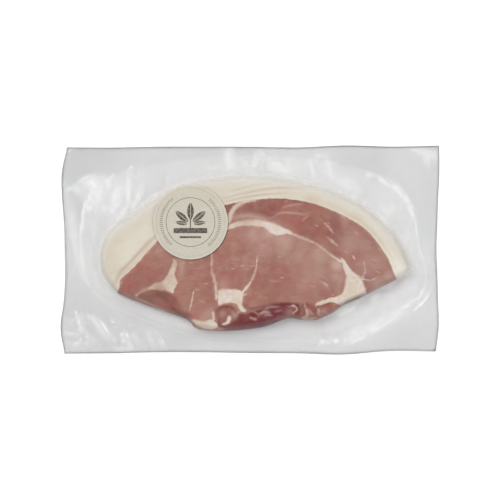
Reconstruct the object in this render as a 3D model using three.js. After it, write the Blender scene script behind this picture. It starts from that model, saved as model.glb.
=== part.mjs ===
// A clear vacuum pouch lying flat, with a raw pork steak sealed in it and a round paper label on top.
// The pouch and the steak are one solid: the film clings to the steak, tents down round it and runs out
// into a thin flange with wavy edges. Units are millimetres, +X is the pouch's length, +Z is up.
import * as THREE from "three";

// Driving dimensions of the pouch
const POUCH_LENGTH = 250;
const POUCH_WIDTH = 138;
const FLANGE_THICKNESS = 0.8;

// Driving dimensions of the steak and of the film round it
const STEAK_LENGTH = 204;
const STEAK_THICKNESS = 14;
const CROWN_DROP = 1.1;
const CROWN_REACH = 26;
const LEAN_RISE = 0.8;
const LEAN_STEP = 3;
const SHOULDER = 4.5;
const TENT_POWER = 1.7;

// Driving dimensions of the label, which lies this far clear of the film
const LABEL_DIAMETER = 49;
const LABEL_THICKNESS = 0.4;
const LABEL_CENTRE = new THREE.Vector2(-39, 18.3);
const CLEARANCE = 0.35;

// How far each edge is drawn in at nine places, evenly spaced from its lower or left end
const EDGE_INSETS = {
  left: [2.7, 0, 2.1, 3.1, 2.8, 2.4, 1.1, 0.8, 4.4],
  right: [2.5, 0.5, 1.0, 1.5, 2.1, 1.5, 0.9, 0, 0.2],
  bottom: [0.7, 0.9, 1.6, 1.6, 1.1, 0.9, 0, 2.5, 2.2],
  top: [1.3, 1.4, 0.8, 0.8, 0.9, 1.3, 0, 0.8, 0.2],
};
// An edge that is drawn in also curls up off the table, over this reach
const CURL_PER_INSET = 0.4;
const CURL_REACH = 13;

// The steak's outline, clockwise from the lower left tip of its fat, as shares of its length from the
// pouch's middle. A smooth closed curve runs through the points.
const STEAK_OUTLINE = [
  [-0.443, -0.122], [-0.477, -0.072], [-0.482, -0.004], [-0.449, 0.066], [-0.378, 0.118],
  [-0.251, 0.196], [-0.064, 0.238], [0.13, 0.225], [0.324, 0.164], [0.46, 0.054],
  [0.516, -0.046], [0.508, -0.077], [0.472, -0.095], [0.35, -0.157], [0.302, -0.178],
  [0.262, -0.205], [0.212, -0.226], [0.165, -0.225], [0.12, -0.221], [0.04, -0.249],
  [-0.07, -0.261], [-0.145, -0.259], [-0.18, -0.249], [-0.206, -0.223], [-0.316, -0.185],
  [-0.41, -0.148],
];
// The lean's edge against the fat, in the same shares. Its lower part runs outside the steak, because
// there the lean reaches the cut.
const LEAN_OUTLINE = [
  [-0.421, -0.124], [-0.415, -0.095], [-0.376, -0.058], [-0.322, 0.002], [-0.258, 0.067],
  [-0.151, 0.125], [-0.033, 0.154], [0.091, 0.166], [0.22, 0.144], [0.359, 0.076],
  [0.435, -0.014], [0.468, -0.087], [0.508, -0.163], [0.26, -0.325], [-0.226, -0.325],
  [-0.446, -0.195],
];
// The foot of the tent, where the top film comes down on the back film, in millimetres
const TENT_FOOT = [
  [-101, -33], [-111, -13], [-113, 10], [-111, 29], [-100, 46], [-79, 56], [-49, 61], [-13, 63],
  [27, 63], [60, 58], [86, 50], [102, 39], [109, 23], [112, 3], [117, -15], [115, -29], [105, -38],
  [97, -42], [79, -55], [64, -61], [40, -62], [7, -61], [-26, -59], [-53, -54], [-79, -44],
];
const OUTLINE_STEPS = 8;
const CURVE_TENSION = 0.5;

// Pleats in the slack film, in rows that start at the steak's foot. Each row has the roots of its first
// and last pleat, the directions that those two run in (degrees from +X), and how many pleats it holds.
const PLEAT_ROWS = [
  { from: [-113, -42], to: [-64, -54], toward: [-62, -50], count: 5, length: 15, height: 1.2 },
  { from: [40, -52], to: [64, -51], toward: [-55, -72], count: 3, length: 13, height: 1.1 },
  { from: [92, -28], to: [108, -28], toward: [-95, -60], count: 3, length: 16, height: 1.0 },
  { from: [99, 32], to: [104, 12], toward: [12, -12], count: 3, length: 10, height: 0.8 },
  { from: [60, 41], to: [86, 30], toward: [45, 28], count: 4, length: 14, height: 1.0 },
  { from: [-18, 52], to: [53, 50], toward: [98, 86], count: 7, length: 11, height: 1.1 },
  { from: [-98, 30], to: [-78, 38], toward: [104, 86], count: 3, length: 22, height: 1.6 },
  { from: [-109, 2], to: [-104, -12], toward: [100, 165], count: 2, length: 26, height: 1.1 },
];
// Every second pleat is this share as tall. A pleat reaches back up the tent by a share of its length,
// and fades outwards by a power. Over the steak's edge all of them end, from this far outside it.
const PLEAT_WIDTH = 2.4;
const PLEAT_LESSER = 0.65;
const PLEAT_ROOT = 0.4;
const PLEAT_FADE = 1.5;
const PLEAT_STOP = 2;

// Colours of what shows through the film, and of the flange
const FILM_COLOUR = new THREE.Color(0xd8d8d8);
const FAT_COLOUR = new THREE.Color(0xd6cbbc);
const LEAN_COLOUR = new THREE.Color(0xa7786e);

// Cells of the faceted skins
const TOP_CELLS = { long: 84, wide: 46 };
const LABEL_CELLS = { rings: 6, sectors: 44 };
const COARSER = 2;

const smooth = (t) => {
  const s = THREE.MathUtils.clamp(t, 0, 1);
  return s * s * (3 - 2 * s);
};

// A smooth value along one edge, from its evenly spaced insets
function insetAlong(insets) {
  const points = insets.map((inset, i) => new THREE.Vector3(i, inset, 0));
  const curve = new THREE.CatmullRomCurve3(points, false, "catmullrom", CURVE_TENSION);
  return (share) => Math.max(0, curve.getPoint(THREE.MathUtils.clamp(share, 0, 1)).y);
}

const inset = Object.fromEntries(
  Object.entries(EDGE_INSETS).map(([edge, insets]) => [edge, insetAlong(insets)]),
);

// A smooth closed curve through an outline's points, as a polygon. The points are in this unit.
function polygonOf(outline, unit) {
  const points = outline.map(([x, y]) => new THREE.Vector3(x * unit, y * unit, 0));
  const curve = new THREE.CatmullRomCurve3(points, true, "catmullrom", CURVE_TENSION);
  return curve.getPoints(points.length * OUTLINE_STEPS).slice(0, -1);
}

const steak = polygonOf(STEAK_OUTLINE, STEAK_LENGTH);
const lean = polygonOf(LEAN_OUTLINE, STEAK_LENGTH);
const foot = polygonOf(TENT_FOOT, 1);

// Distance from an outline, positive inside it
function depthIn(outline, x, y) {
  let nearest = Infinity;
  let inside = false;
  outline.forEach((a, i) => {
    const b = outline[(i + 1) % outline.length];
    const along = ((x - a.x) * (b.x - a.x) + (y - a.y) * (b.y - a.y)) / a.distanceToSquared(b);
    const t = THREE.MathUtils.clamp(along, 0, 1);
    nearest = Math.min(nearest, Math.hypot(a.x + t * (b.x - a.x) - x, a.y + t * (b.y - a.y) - y));
    const straddles = a.y > y !== b.y > y;
    if (straddles && x < a.x + ((y - a.y) * (b.x - a.x)) / (b.y - a.y)) inside = !inside;
  });
  return inside ? nearest : -nearest;
}

// Where a place of the pouch, given as shares of its length and width, lies on the table
function planPoint(u, v) {
  const left = -POUCH_LENGTH / 2 + inset.left(v);
  const right = POUCH_LENGTH / 2 - inset.right(v);
  const bottom = -POUCH_WIDTH / 2 + inset.bottom(u);
  const top = POUCH_WIDTH / 2 - inset.top(u);
  return new THREE.Vector2(THREE.MathUtils.lerp(left, right, u), THREE.MathUtils.lerp(bottom, top, v));
}

// How high the back film stands off the table: nothing under the steak, a curl along the edges
function curl(u, v) {
  const edges = [
    [inset.left(v), u * POUCH_LENGTH],
    [inset.right(v), (1 - u) * POUCH_LENGTH],
    [inset.bottom(u), v * POUCH_WIDTH],
    [inset.top(u), (1 - v) * POUCH_WIDTH],
  ];
  const share = (away) => Math.max(0, 1 - away / CURL_REACH) ** 2;
  return Math.max(...edges.map(([drawn, away]) => drawn * CURL_PER_INSET * share(away)));
}

// Every pleat as its root, unit direction, length and height
const pleats = PLEAT_ROWS.flatMap(({ from, to, toward, count, length, height }) =>
  Array.from({ length: count }, (_, i) => {
    const share = i / (count - 1);
    const turn = THREE.MathUtils.degToRad(THREE.MathUtils.lerp(...toward, share));
    const root = new THREE.Vector2(...from).lerp(new THREE.Vector2(...to), share);
    const way = new THREE.Vector2(Math.cos(turn), Math.sin(turn));
    return { root, way, length, tall: height * (i % 2 ? PLEAT_LESSER : 1) };
  }),
);

// Height that the pleats add: each is a ridge that dies out at both ends
function pleatHeight(x, y) {
  return pleats.reduce((highest, { root, way, length, tall }) => {
    const along = ((x - root.x) * way.x + (y - root.y) * way.y) / length;
    if (along < -PLEAT_ROOT || along > 1) return highest;
    const across = (x - root.x) * -way.y + (y - root.y) * way.x;
    const taper = along < 0 ? smooth(1 + along / PLEAT_ROOT) : 1 - along ** PLEAT_FADE;
    return Math.max(highest, tall * taper * Math.exp(-((across / PLEAT_WIDTH) ** 2)));
  }, 0);
}

// Height of the top film: over the steak, down its tent to the foot, and out along the flange
function filmHeight(x, y, back) {
  const depth = depthIn(steak, x, y);
  const flange = back + FLANGE_THICKNESS;
  const fatDrop = LEAN_RISE * (1 - smooth(0.5 + depthIn(lean, x, y) / LEAN_STEP));
  const crown = STEAK_THICKNESS - CROWN_DROP * (1 - smooth(depth / CROWN_REACH)) - fatDrop;
  const fromFoot = Math.max(0, depthIn(foot, x, y));
  const toShoulder = Math.max(0, SHOULDER - depth);
  const tent = Math.sin(((fromFoot / (fromFoot + toShoulder)) * Math.PI) / 2) ** TENT_POWER;
  const slack = 1 - smooth((depth + PLEAT_STOP) / SHOULDER);
  return flange + (crown - FLANGE_THICKNESS) * tent + pleatHeight(x, y) * slack;
}

// A grid of points over the pouch. Its height comes from the plan point, its shares and the curl there.
function skin(long, wide, heightAt) {
  const rows = [];
  for (let j = 0; j <= wide; j += 1) {
    for (let i = 0; i <= long; i += 1) {
      const [u, v] = [i / long, j / wide];
      const { x, y } = planPoint(u, v);
      rows.push(x, y, heightAt(x, y, curl(u, v)));
    }
  }
  return rows;
}

// Vertex numbers round the border of a grid, counter-clockwise from its lower left corner
function border(long, wide, first) {
  const at = (i, j) => first + j * (long + 1) + i;
  const run = (count, place) => Array.from({ length: count }, (_, k) => place(k));
  return [
    ...run(long, (k) => at(k, 0)),
    ...run(wide, (k) => at(long, k)),
    ...run(long, (k) => at(long - k, wide)),
    ...run(wide, (k) => at(0, wide - k)),
  ];
}

// Two triangles for each cell of a grid, facing up or down
function cells(long, wide, first, up) {
  const faces = [];
  for (let j = 0; j < wide; j += 1) {
    for (let i = 0; i < long; i += 1) {
      const a = first + j * (long + 1) + i;
      const [b, c, d] = [a + 1, a + long + 2, a + long + 1];
      faces.push(...(up ? [a, b, c, a, c, d] : [a, c, b, a, d, c]));
    }
  }
  return faces;
}

function closedGeometry(positions, faces) {
  const geometry = new THREE.BufferGeometry();
  geometry.setAttribute("position", new THREE.Float32BufferAttribute(positions, 3));
  geometry.setIndex(faces);
  geometry.computeVertexNormals();
  return geometry;
}

// The colour seen at a point of the pouch from above
function colourAt(x, y, z) {
  if (z < FLANGE_THICKNESS || depthIn(steak, x, y) < 0) return FILM_COLOUR;
  return depthIn(lean, x, y) > 0 ? LEAN_COLOUR : FAT_COLOUR;
}

// The pouch with its steak: a fine top skin, a back skin with cells twice the size, and a rim between
function pouchGeometry() {
  const { long, wide } = TOP_CELLS;
  const [backLong, backWide] = [long / COARSER, wide / COARSER];
  const top = skin(long, wide, filmHeight);
  const back = skin(backLong, backWide, (x, y, lift) => lift);
  const firstBack = top.length / 3;
  const upper = border(long, wide, 0);
  const lower = border(backLong, backWide, firstBack);
  const rim = lower.flatMap((a, k) => {
    const b = lower[(k + 1) % lower.length];
    const [p, q, r] = [0, 1, 2].map((step) => upper[(COARSER * k + step) % upper.length]);
    return [a, q, p, a, b, q, b, r, q];
  });
  const faces = [...cells(long, wide, 0, true), ...cells(backLong, backWide, firstBack, false), ...rim];
  const positions = [...top, ...back];
  const geometry = closedGeometry(positions, faces);
  const colours = positions.flatMap((x, i) =>
    i % 3 ? [] : colourAt(x, positions[i + 1], positions[i + 2]).toArray(),
  );
  return geometry.setAttribute("color", new THREE.Float32BufferAttribute(colours, 3));
}

// The label: a disc of rings and sectors that lies on the film and bends with it
function labelGeometry() {
  const { rings, sectors } = LABEL_CELLS;
  const disc = (lift) => {
    const points = [];
    for (let ring = 0; ring <= rings; ring += 1) {
      for (let k = 0; k < (ring ? sectors : 1); k += 1) {
        const angle = (2 * Math.PI * k) / sectors;
        const radius = ((LABEL_DIAMETER / 2) * ring) / rings;
        const x = LABEL_CENTRE.x + radius * Math.cos(angle);
        const y = LABEL_CENTRE.y + radius * Math.sin(angle);
        points.push(x, y, filmHeight(x, y, 0) + lift);
      }
    }
    return points;
  };
  const under = disc(CLEARANCE);
  const over = disc(CLEARANCE + LABEL_THICKNESS);
  const count = under.length / 3;
  const at = (ring, k) => (ring ? 1 + (ring - 1) * sectors + (k % sectors) : 0);
  const faces = [];
  for (let k = 0; k < sectors; k += 1) {
    faces.push(count, count + at(1, k), count + at(1, k + 1), 0, at(1, k + 1), at(1, k));
    for (let ring = 1; ring < rings; ring += 1) {
      const [a, b, c, d] = [at(ring, k), at(ring + 1, k), at(ring + 1, k + 1), at(ring, k + 1)];
      faces.push(count + a, count + b, count + c, count + a, count + c, count + d, a, c, b, a, d, c);
    }
    const [p, q] = [at(rings, k), at(rings, k + 1)];
    faces.push(p, q, count + q, p, count + q, count + p);
  }
  return closedGeometry([...under, ...over], faces);
}

function named(name, geometry, look) {
  const mesh = new THREE.Mesh(geometry, new THREE.MeshStandardMaterial(look));
  mesh.name = name;
  return mesh;
}

const pack = new THREE.Group();
pack.add(
  named("pouch", pouchGeometry(), { vertexColors: true, roughness: 0.25, metalness: 0 }),
  named("label", labelGeometry(), { color: 0xd2cbbc, roughness: 0.55, metalness: 0 }),
);

export default pack;
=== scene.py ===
# %% [markdown]
# # A steak in a clear vacuum pouch
# The object is a pouch of clear film that lies flat on its back. Its film clings to a raw pork steak,
# tents down round it and runs out into a thin flange with wavy edges. A round paper label sits on top.
#
# Three pieces are made here: the steak, the film and the label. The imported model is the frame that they
# fit. Shapes are worked out in millimetres, because that is how a packer would measure them, and are
# turned into metres when they become meshes.

# %% Load the frame
import math
from functools import partialmethod
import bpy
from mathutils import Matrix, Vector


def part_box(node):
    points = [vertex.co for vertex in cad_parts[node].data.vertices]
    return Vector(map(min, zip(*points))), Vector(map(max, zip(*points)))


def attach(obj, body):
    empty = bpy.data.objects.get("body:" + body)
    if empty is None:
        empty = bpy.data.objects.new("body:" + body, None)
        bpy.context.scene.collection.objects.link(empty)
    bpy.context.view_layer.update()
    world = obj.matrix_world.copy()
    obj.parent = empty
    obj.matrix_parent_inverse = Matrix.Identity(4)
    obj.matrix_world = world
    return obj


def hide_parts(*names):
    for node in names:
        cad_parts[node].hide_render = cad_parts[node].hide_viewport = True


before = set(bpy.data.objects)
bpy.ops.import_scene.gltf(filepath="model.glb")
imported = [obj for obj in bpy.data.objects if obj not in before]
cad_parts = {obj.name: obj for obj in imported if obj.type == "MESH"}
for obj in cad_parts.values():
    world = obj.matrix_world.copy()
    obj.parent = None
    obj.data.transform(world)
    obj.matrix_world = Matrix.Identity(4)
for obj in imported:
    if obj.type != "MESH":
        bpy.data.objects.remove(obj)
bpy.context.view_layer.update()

from types import SimpleNamespace

import bpy
import numpy as np

MM = 0.001

# %% [markdown]
# ## Camera, light and floor
# The pack was photographed from straight above, on white. A long lens high over the pack gives that flat
# view. The width of the view at the floor is the one size to set: the camera's height follows from it.
#
# Clear film is seen by what it mirrors. Flat film mirrors what is right overhead, so the studio is dim
# there, and slopes mirror what stands lower, so soft boxes stand all round. Then flat film stays grey and
# every crease lights up. The brightest box stands at the upper left, so the steak's shadow falls to the
# lower right. The film must not mirror that one, or its whole upper left slope would turn white.

# %% Camera
VIEW_WIDTH = 0.330
LENS_MM = 200
SENSOR_MM = 36


def add_object(name, data):
    made = bpy.data.objects.new(name, data)
    bpy.context.collection.objects.link(made)
    return made


def place_camera():
    """A camera that looks straight down. Its height is the view's width times lens over sensor."""
    data = bpy.data.cameras.new("camera")
    data.lens = LENS_MM
    data.sensor_width = SENSOR_MM
    camera = add_object("camera", data)
    camera.location = (0, 0, VIEW_WIDTH * LENS_MM / SENSOR_MM)
    bpy.context.scene.camera = camera
    return camera


camera = place_camera()
bpy.context.scene.view_settings.view_transform = "Standard"
print("camera height in m:", round(camera.location.z, 3))

# %% Lights
# Each soft box: the way to it from the pack, its distance, its width and height, and its brightness
SOFT_BOXES = {
    "key_box": ((-0.38, 0.46, 0.84), 1.9, 1.38, 0.78, 6.3),
    "left_box": ((-0.60, 0.18, 0.92), 1.0, 0.80, 0.34, 1.25),
    "right_box": ((0.58, 0.32, 0.92), 1.0, 0.62, 0.34, 1.35),
    "front_box": ((0.46, -0.48, 0.78), 1.0, 0.70, 0.50, 1.7),
}
UNMIRRORED = ("key_box",)


def soft_box(name, way, distance, width, height, brightness):
    """A rectangle of light that faces the pack. Its power is its brightness times pi times its area."""
    data = bpy.data.lights.new(name, "AREA")
    data.shape = "RECTANGLE"
    data.size = width
    data.size_y = height
    data.energy = brightness * math.pi * width * height
    light = add_object(name, data)
    way = np.array(way) / np.linalg.norm(way)
    light.location = way * distance
    light.rotation_euler = (light.location * -1).to_track_quat("-Z", "Y").to_euler()
    light.visible_glossy = name not in UNMIRRORED


for name, facts in SOFT_BOXES.items():
    soft_box(name, *facts)
print("soft boxes:", ", ".join(SOFT_BOXES))

# %% [markdown]
# ## A short way to write shader nodes
# A material is a chain of nodes. The helper below adds a node and fills its sockets in order, whether
# the value is a number, a colour or the output of another node, so a material reads like a formula.

# %% Node helper
class Tree:
    """A node tree that takes numbers, colours and other nodes' outputs alike."""

    def __init__(self, tree):
        self.tree = tree
        self.tree.nodes.clear()

    def feed(self, socket, value):
        if isinstance(value, bpy.types.NodeSocket):
            self.tree.links.new(value, socket)
        elif value is not None:
            socket.default_value = value

    def node(self, kind, *values, named=None, **settings):
        made = self.tree.nodes.new(kind)
        for setting, value in settings.items():
            setattr(made, setting, value)
        for socket, value in zip(made.inputs, values):
            self.feed(socket, value)
        for socket, value in (named or {}).items():
            self.feed(made.inputs[socket], value)
        return made

    def math(self, operation, *values, clamp=False):
        return self.node("ShaderNodeMath", *values, operation=operation, use_clamp=clamp).outputs[0]

    # Short names for the sums that the materials need most
    times = partialmethod(math, "MULTIPLY")
    plus = partialmethod(math, "ADD")
    minus = partialmethod(math, "SUBTRACT")
    times_plus = partialmethod(math, "MULTIPLY_ADD")
    power = partialmethod(math, "POWER")
    greatest = partialmethod(math, "MAXIMUM")
    unsigned = partialmethod(math, "ABSOLUTE")
    is_under = partialmethod(math, "LESS_THAN")
    is_over = partialmethod(math, "GREATER_THAN")

    def vector(self, operation, first, second):
        return self.node("ShaderNodeVectorMath", first, second, operation=operation).outputs[0]

    def bump(self, height, strength, distance):
        """A normal that tilts as if the surface had this relief."""
        sockets = {"Strength": strength, "Distance": distance, "Height": height}
        return self.node("ShaderNodeBump", named=sockets).outputs[0]

    def mix(self, factor, first, second):
        """One colour turns into another as the factor goes from 0 to 1. The node has sockets for numbers
        and vectors as well, so the colours' sockets are further down its list."""
        made = self.node("ShaderNodeMix", data_type="RGBA")
        for index, value in ((0, factor), (6, first), (7, second)):
            self.feed(made.inputs[index], value)
        return made.outputs[2]

    def step(self, value, low, high, bottom=0.0, top=1.0):
        """A smooth step from bottom to top as the value goes from low to high."""
        made = self.node("ShaderNodeMapRange", value, low, high, bottom, top)
        made.interpolation_type = "SMOOTHSTEP"
        return made.outputs[0]

    def place(self):
        """The point's own place in its piece, in metres."""
        return self.node("ShaderNodeTexCoord").outputs["Object"]

    def attribute(self, name, output="Fac"):
        return self.node("ShaderNodeAttribute", attribute_name=name).outputs[output]

    def group(self, group, **inputs):
        return self.node("ShaderNodeGroup", node_tree=group, named=inputs).outputs[0]


def new_material(name):
    material = bpy.data.materials.new(name)
    material.use_nodes = True
    return material, Tree(material.node_tree)


def finish_material(tree, sockets):
    """The material's surface is one Principled shader with these sockets."""
    shader = tree.node("ShaderNodeBsdfPrincipled", named=sockets)
    tree.node("ShaderNodeOutputMaterial", shader.outputs[0])


def new_group(name, inputs, output):
    """A node group with float inputs (and a vector called Vector) and one float output."""
    group = bpy.data.node_groups.new(name, "ShaderNodeTree")
    for label in inputs:
        kind = "NodeSocketVector" if label == "Vector" else "NodeSocketFloat"
        group.interface.new_socket(name=label, in_out="INPUT", socket_type=kind)
    group.interface.new_socket(name=output, in_out="OUTPUT", socket_type="NodeSocketFloat")
    tree = Tree(group)
    entry = tree.node("NodeGroupInput")
    sockets = SimpleNamespace(**{label: entry.outputs[label] for label in inputs})
    return group, tree, sockets


def paint(red, green, blue):
    """A screen colour, 0 to 255, as the linear light that shaders work in, by the sRGB curve."""
    share = np.array([red, green, blue]) / 255
    linear = np.where(share <= 0.04045, share / 12.92, ((share + 0.055) / 1.055) ** 2.4)
    return (*linear.tolist(), 1.0)


print("white in linear light:", paint(255, 255, 255))

# %% [markdown]
# ## Three effects that the materials share
# Meat, film and paper are never even. Each effect is a node group, built once and used with its own
# values: a soft blotchy change, a scatter of small specks, and an edge that wanders a little instead of
# following a curve exactly. A short function puts each group into a material.

# %% Shared node groups
NOISE_RANGE = (0.3, 0.7)
NOISE_MIDDLE = 0.5
EDGE_DETAIL = 3


def make_mottle():
    """Noise, spread so that its usual range runs from Low to High."""
    group, tree, given = new_group("mottle", ["Vector", "Scale", "Detail", "Low", "High"], "Value")
    noise = tree.node("ShaderNodeTexNoise", named={
        "Vector": given.Vector, "Scale": given.Scale, "Detail": given.Detail,
    })
    tree.node("NodeGroupOutput", tree.step(noise.outputs[0], *NOISE_RANGE, given.Low, given.High))
    return group


def make_speckle():
    """Round specks: places near a cell's centre, kept only where the cell's own noise is over 1 - Share."""
    group, tree, given = new_group("speckle", ["Vector", "Scale", "Size", "Share"], "Mask")
    cells = tree.node("ShaderNodeTexVoronoi", named={"Vector": given.Vector, "Scale": given.Scale})
    near = tree.is_under(cells.outputs["Distance"], given.Size)
    lot = tree.node("ShaderNodeSeparateColor", cells.outputs["Color"]).outputs[0]
    kept = tree.is_over(lot, tree.minus(1, given.Share))
    tree.node("NodeGroupOutput", tree.times(near, kept))
    return group


def make_ragged_edge():
    """A mask from a signed distance: noise moves the edge by up to Reach, and Softness blurs it."""
    group, tree, given = new_group(
        "ragged_edge", ["Vector", "Distance", "Scale", "Reach", "Softness"], "Mask")
    noise = tree.node("ShaderNodeTexNoise", named={
        "Vector": given.Vector, "Scale": given.Scale, "Detail": EDGE_DETAIL,
    })
    wander = tree.times(tree.minus(noise.outputs[0], NOISE_MIDDLE), given.Reach)
    shifted = tree.plus(given.Distance, tree.times(wander, 2))
    low = tree.times(given.Softness, -1)
    tree.node("NodeGroupOutput", tree.step(shifted, low, given.Softness))
    return group


MOTTLE = make_mottle()
SPECKLE = make_speckle()
RAGGED_EDGE = make_ragged_edge()


def mottle(tree, place, scale, detail, low, high):
    return tree.group(MOTTLE, Vector=place, Scale=scale, Detail=detail, Low=low, High=high)


def speckle(tree, place, scale, size, share):
    return tree.group(SPECKLE, Vector=place, Scale=scale, Size=size, Share=share)


def ragged_edge(tree, place, distance, scale, reach, softness):
    return tree.group(
        RAGGED_EDGE, Vector=place, Distance=distance, Scale=scale, Reach=reach, Softness=softness)


print("groups:", ", ".join(group.name for group in bpy.data.node_groups))

# %% [markdown]
# ## Floor and surroundings
# The floor is a white sweep. The light that comes from everywhere else is a sky that is dim overhead and
# bright lower down, as in a studio with a dark ceiling and white walls.

# %% Floor and sky
FLOOR_SIZE = 3.0
FLOOR_DROP = 0.05 * MM
FLOOR_COLOUR = paint(250, 250, 250)
FLOOR_ROUGHNESS = 0.9
SKY_TOP = paint(138, 139, 141)
SKY_SIDE = paint(221, 221, 221)
SKY_BLEND = (0.55, 0.97)


def make_floor():
    """A white sheet just under the pack."""
    half = FLOOR_SIZE / 2
    corners = [(-half, -half, -FLOOR_DROP), (half, -half, -FLOOR_DROP),
               (half, half, -FLOOR_DROP), (-half, half, -FLOOR_DROP)]
    mesh = bpy.data.meshes.new("floor")
    mesh.from_pydata(corners, [], [(0, 1, 2, 3)])
    floor = add_object("floor", mesh)
    material, tree = new_material("white_sweep")
    finish_material(tree, {"Base Color": FLOOR_COLOUR, "Roughness": FLOOR_ROUGHNESS})
    mesh.materials.append(material)


def make_sky():
    """Brightness follows the height of the direction: the top colour overhead, the side colour lower."""
    world = bpy.data.worlds.new("studio")
    bpy.context.scene.world = world
    world.use_nodes = True
    tree = Tree(world.node_tree)
    way = tree.node("ShaderNodeTexCoord").outputs["Generated"]
    up = tree.node("ShaderNodeSeparateXYZ", way).outputs[2]
    colour = tree.mix(tree.step(up, *SKY_BLEND), SKY_SIDE, SKY_TOP)
    background = tree.node("ShaderNodeBackground", colour, 1)
    tree.node("ShaderNodeOutputWorld", background.outputs[0])


make_floor()
make_sky()
print("floor lies", FLOOR_DROP / MM, "mm under the pack")

# %% [markdown]
# ## Curves and distances
# The steak's outline, its muscles and its white seams are all drawn as a few points with a smooth curve
# through them. What a surface needs to know is how far each of its points is from such a curve, so the
# helpers below turn points into curves and give distances for whole arrays at once.

# %% Curve helpers
CURVE_STEPS = 8


def smooth(value):
    """A step from 0 to 1 that starts and ends level: 3t squared minus 2t cubed."""
    share = np.clip(value, 0, 1)
    return share * share * (3 - 2 * share)


def blend(distance, width):
    """A smooth step of this width, half way up where the distance is 0."""
    return smooth(distance / width + 0.5)


def taper(share, least, power):
    """1 in the middle of a line and less towards its ends: a sine raised to a power. The least share from
    an end sets how much is left there."""
    return np.sin(np.clip(share, least, 1 - least) * math.pi) ** power


def spline(points, closed=False):
    """A smooth curve through points: between two of them, the cubic whose slope at each point is half
    the way from the point before it to the point after it."""
    knots = np.array(points, float)
    if closed:
        before = np.roll(knots, 1, axis=0)
        after = np.roll(knots, -1, axis=0)
        following = after
    else:
        before = np.vstack([2 * knots[0] - knots[1], knots[:-1]])
        after = np.vstack([knots[1:], 2 * knots[-1] - knots[-2]])
        following = after[:-1]
    slope = (after - before) / 2
    count = len(following)
    t = (np.arange(CURVE_STEPS) / CURVE_STEPS)[None, :, None]
    start, end = knots[:count, None], following[:, None]
    leave, arrive = slope[:count, None], np.roll(slope, -1, axis=0)[:count, None]
    curve = ((2 * t**3 - 3 * t**2 + 1) * start + (t**3 - 2 * t**2 + t) * leave
             + (3 * t**2 - 2 * t**3) * end + (t**3 - t**2) * arrive)
    curve = curve.reshape(-1, knots.shape[1])
    return curve if closed else np.vstack([curve, knots[-1]])


def along_line(x, y, line):
    """Distance from each point to a chain of points, and how far along the chain the nearest place is,
    from 0 at its start to 1 at its end."""
    steps = np.hypot(*np.diff(line, axis=0).T)
    begun = np.concatenate([[0], np.cumsum(steps)])
    nearest = np.full(x.shape, np.inf)
    share = np.zeros(x.shape)
    for (ax, ay), (bx, by), step, start in zip(line[:-1], line[1:], steps, begun):
        t = np.clip(((x - ax) * (bx - ax) + (y - ay) * (by - ay)) / step**2, 0, 1)
        away = np.hypot(ax + t * (bx - ax) - x, ay + t * (by - ay) - y)
        closer = away < nearest
        nearest[closer] = away[closer]
        share[closer] = (start + t[closer] * step) / begun[-1]
    return nearest, share


def depth_inside(x, y, outline):
    """Distance to a closed outline, positive inside it. A point is inside when a ray from it crosses the
    outline an odd number of times."""
    ring = np.vstack([outline, outline[:1]])
    nearest, _ = along_line(x, y, ring)
    inside = np.zeros(x.shape, bool)
    for (ax, ay), (bx, by) in zip(ring[:-1], ring[1:]):
        if ay != by:
            straddles = (ay > y) != (by > y)
            inside ^= straddles & (x < ax + (y - ay) * (bx - ax) / (by - ay))
    return np.where(inside, nearest, -nearest)


print("points on a curve through 4 points:", len(spline([(0, 0), (1, 2), (3, 1), (4, 4)])))

# %% [markdown]
# ## Sizes of the pouch and of what it holds
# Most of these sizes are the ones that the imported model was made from. The film follows the same height
# field here, so it stays close to the plain solid. Only its flange is thinner, and its pleats are slimmer
# and softer, as thin film shows them.

# %% Sizes in millimetres
low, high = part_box("pouch")
POUCH_LENGTH = (high[0] - low[0]) / MM
POUCH_WIDTH = (high[1] - low[1]) / MM
FLANGE = 0.35
STEAK_LENGTH = 204
STEAK_THICKNESS = 14
CROWN_DROP = 1.1
CROWN_REACH = 26
LEAN_RISE = 0.8
LEAN_STEP = 3
SHOULDER = 4.5
TENT_POWER = 1.7

# How far each edge is drawn in, at evenly spaced places along it
EDGE_INSETS = {
    "left": (2.7, 0, 2.1, 3.1, 2.8, 2.4, 1.1, 0.8, 4.4),
    "right": (2.5, 0.5, 1.0, 1.5, 2.1, 1.5, 0.9, 0, 0.2),
    "bottom": (0.7, 0.9, 1.6, 1.6, 1.1, 0.9, 0, 2.5, 2.2),
    "top": (1.3, 1.4, 0.8, 0.8, 0.9, 1.3, 0, 0.8, 0.2),
}
CURL_PER_INSET = 0.4
CURL_REACH = 13

# Outlines of the steak and its lean as shares of the steak's length, and the tent's foot in millimetres
STEAK_OUTLINE = (
    (-0.443, -0.122), (-0.477, -0.072), (-0.482, -0.004), (-0.449, 0.066), (-0.378, 0.118),
    (-0.251, 0.196), (-0.064, 0.238), (0.13, 0.225), (0.324, 0.164), (0.46, 0.054),
    (0.516, -0.046), (0.508, -0.077), (0.472, -0.095), (0.35, -0.157), (0.302, -0.178),
    (0.262, -0.205), (0.212, -0.226), (0.165, -0.225), (0.12, -0.221), (0.04, -0.249),
    (-0.07, -0.261), (-0.145, -0.259), (-0.18, -0.249), (-0.206, -0.223), (-0.316, -0.185),
    (-0.41, -0.148),
)
LEAN_OUTLINE = (
    (-0.421, -0.124), (-0.415, -0.095), (-0.376, -0.058), (-0.322, 0.002), (-0.258, 0.067),
    (-0.151, 0.125), (-0.033, 0.154), (0.091, 0.166), (0.22, 0.144), (0.359, 0.076),
    (0.435, -0.014), (0.468, -0.087), (0.508, -0.163), (0.26, -0.325), (-0.226, -0.325),
    (-0.446, -0.195),
)
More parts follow.
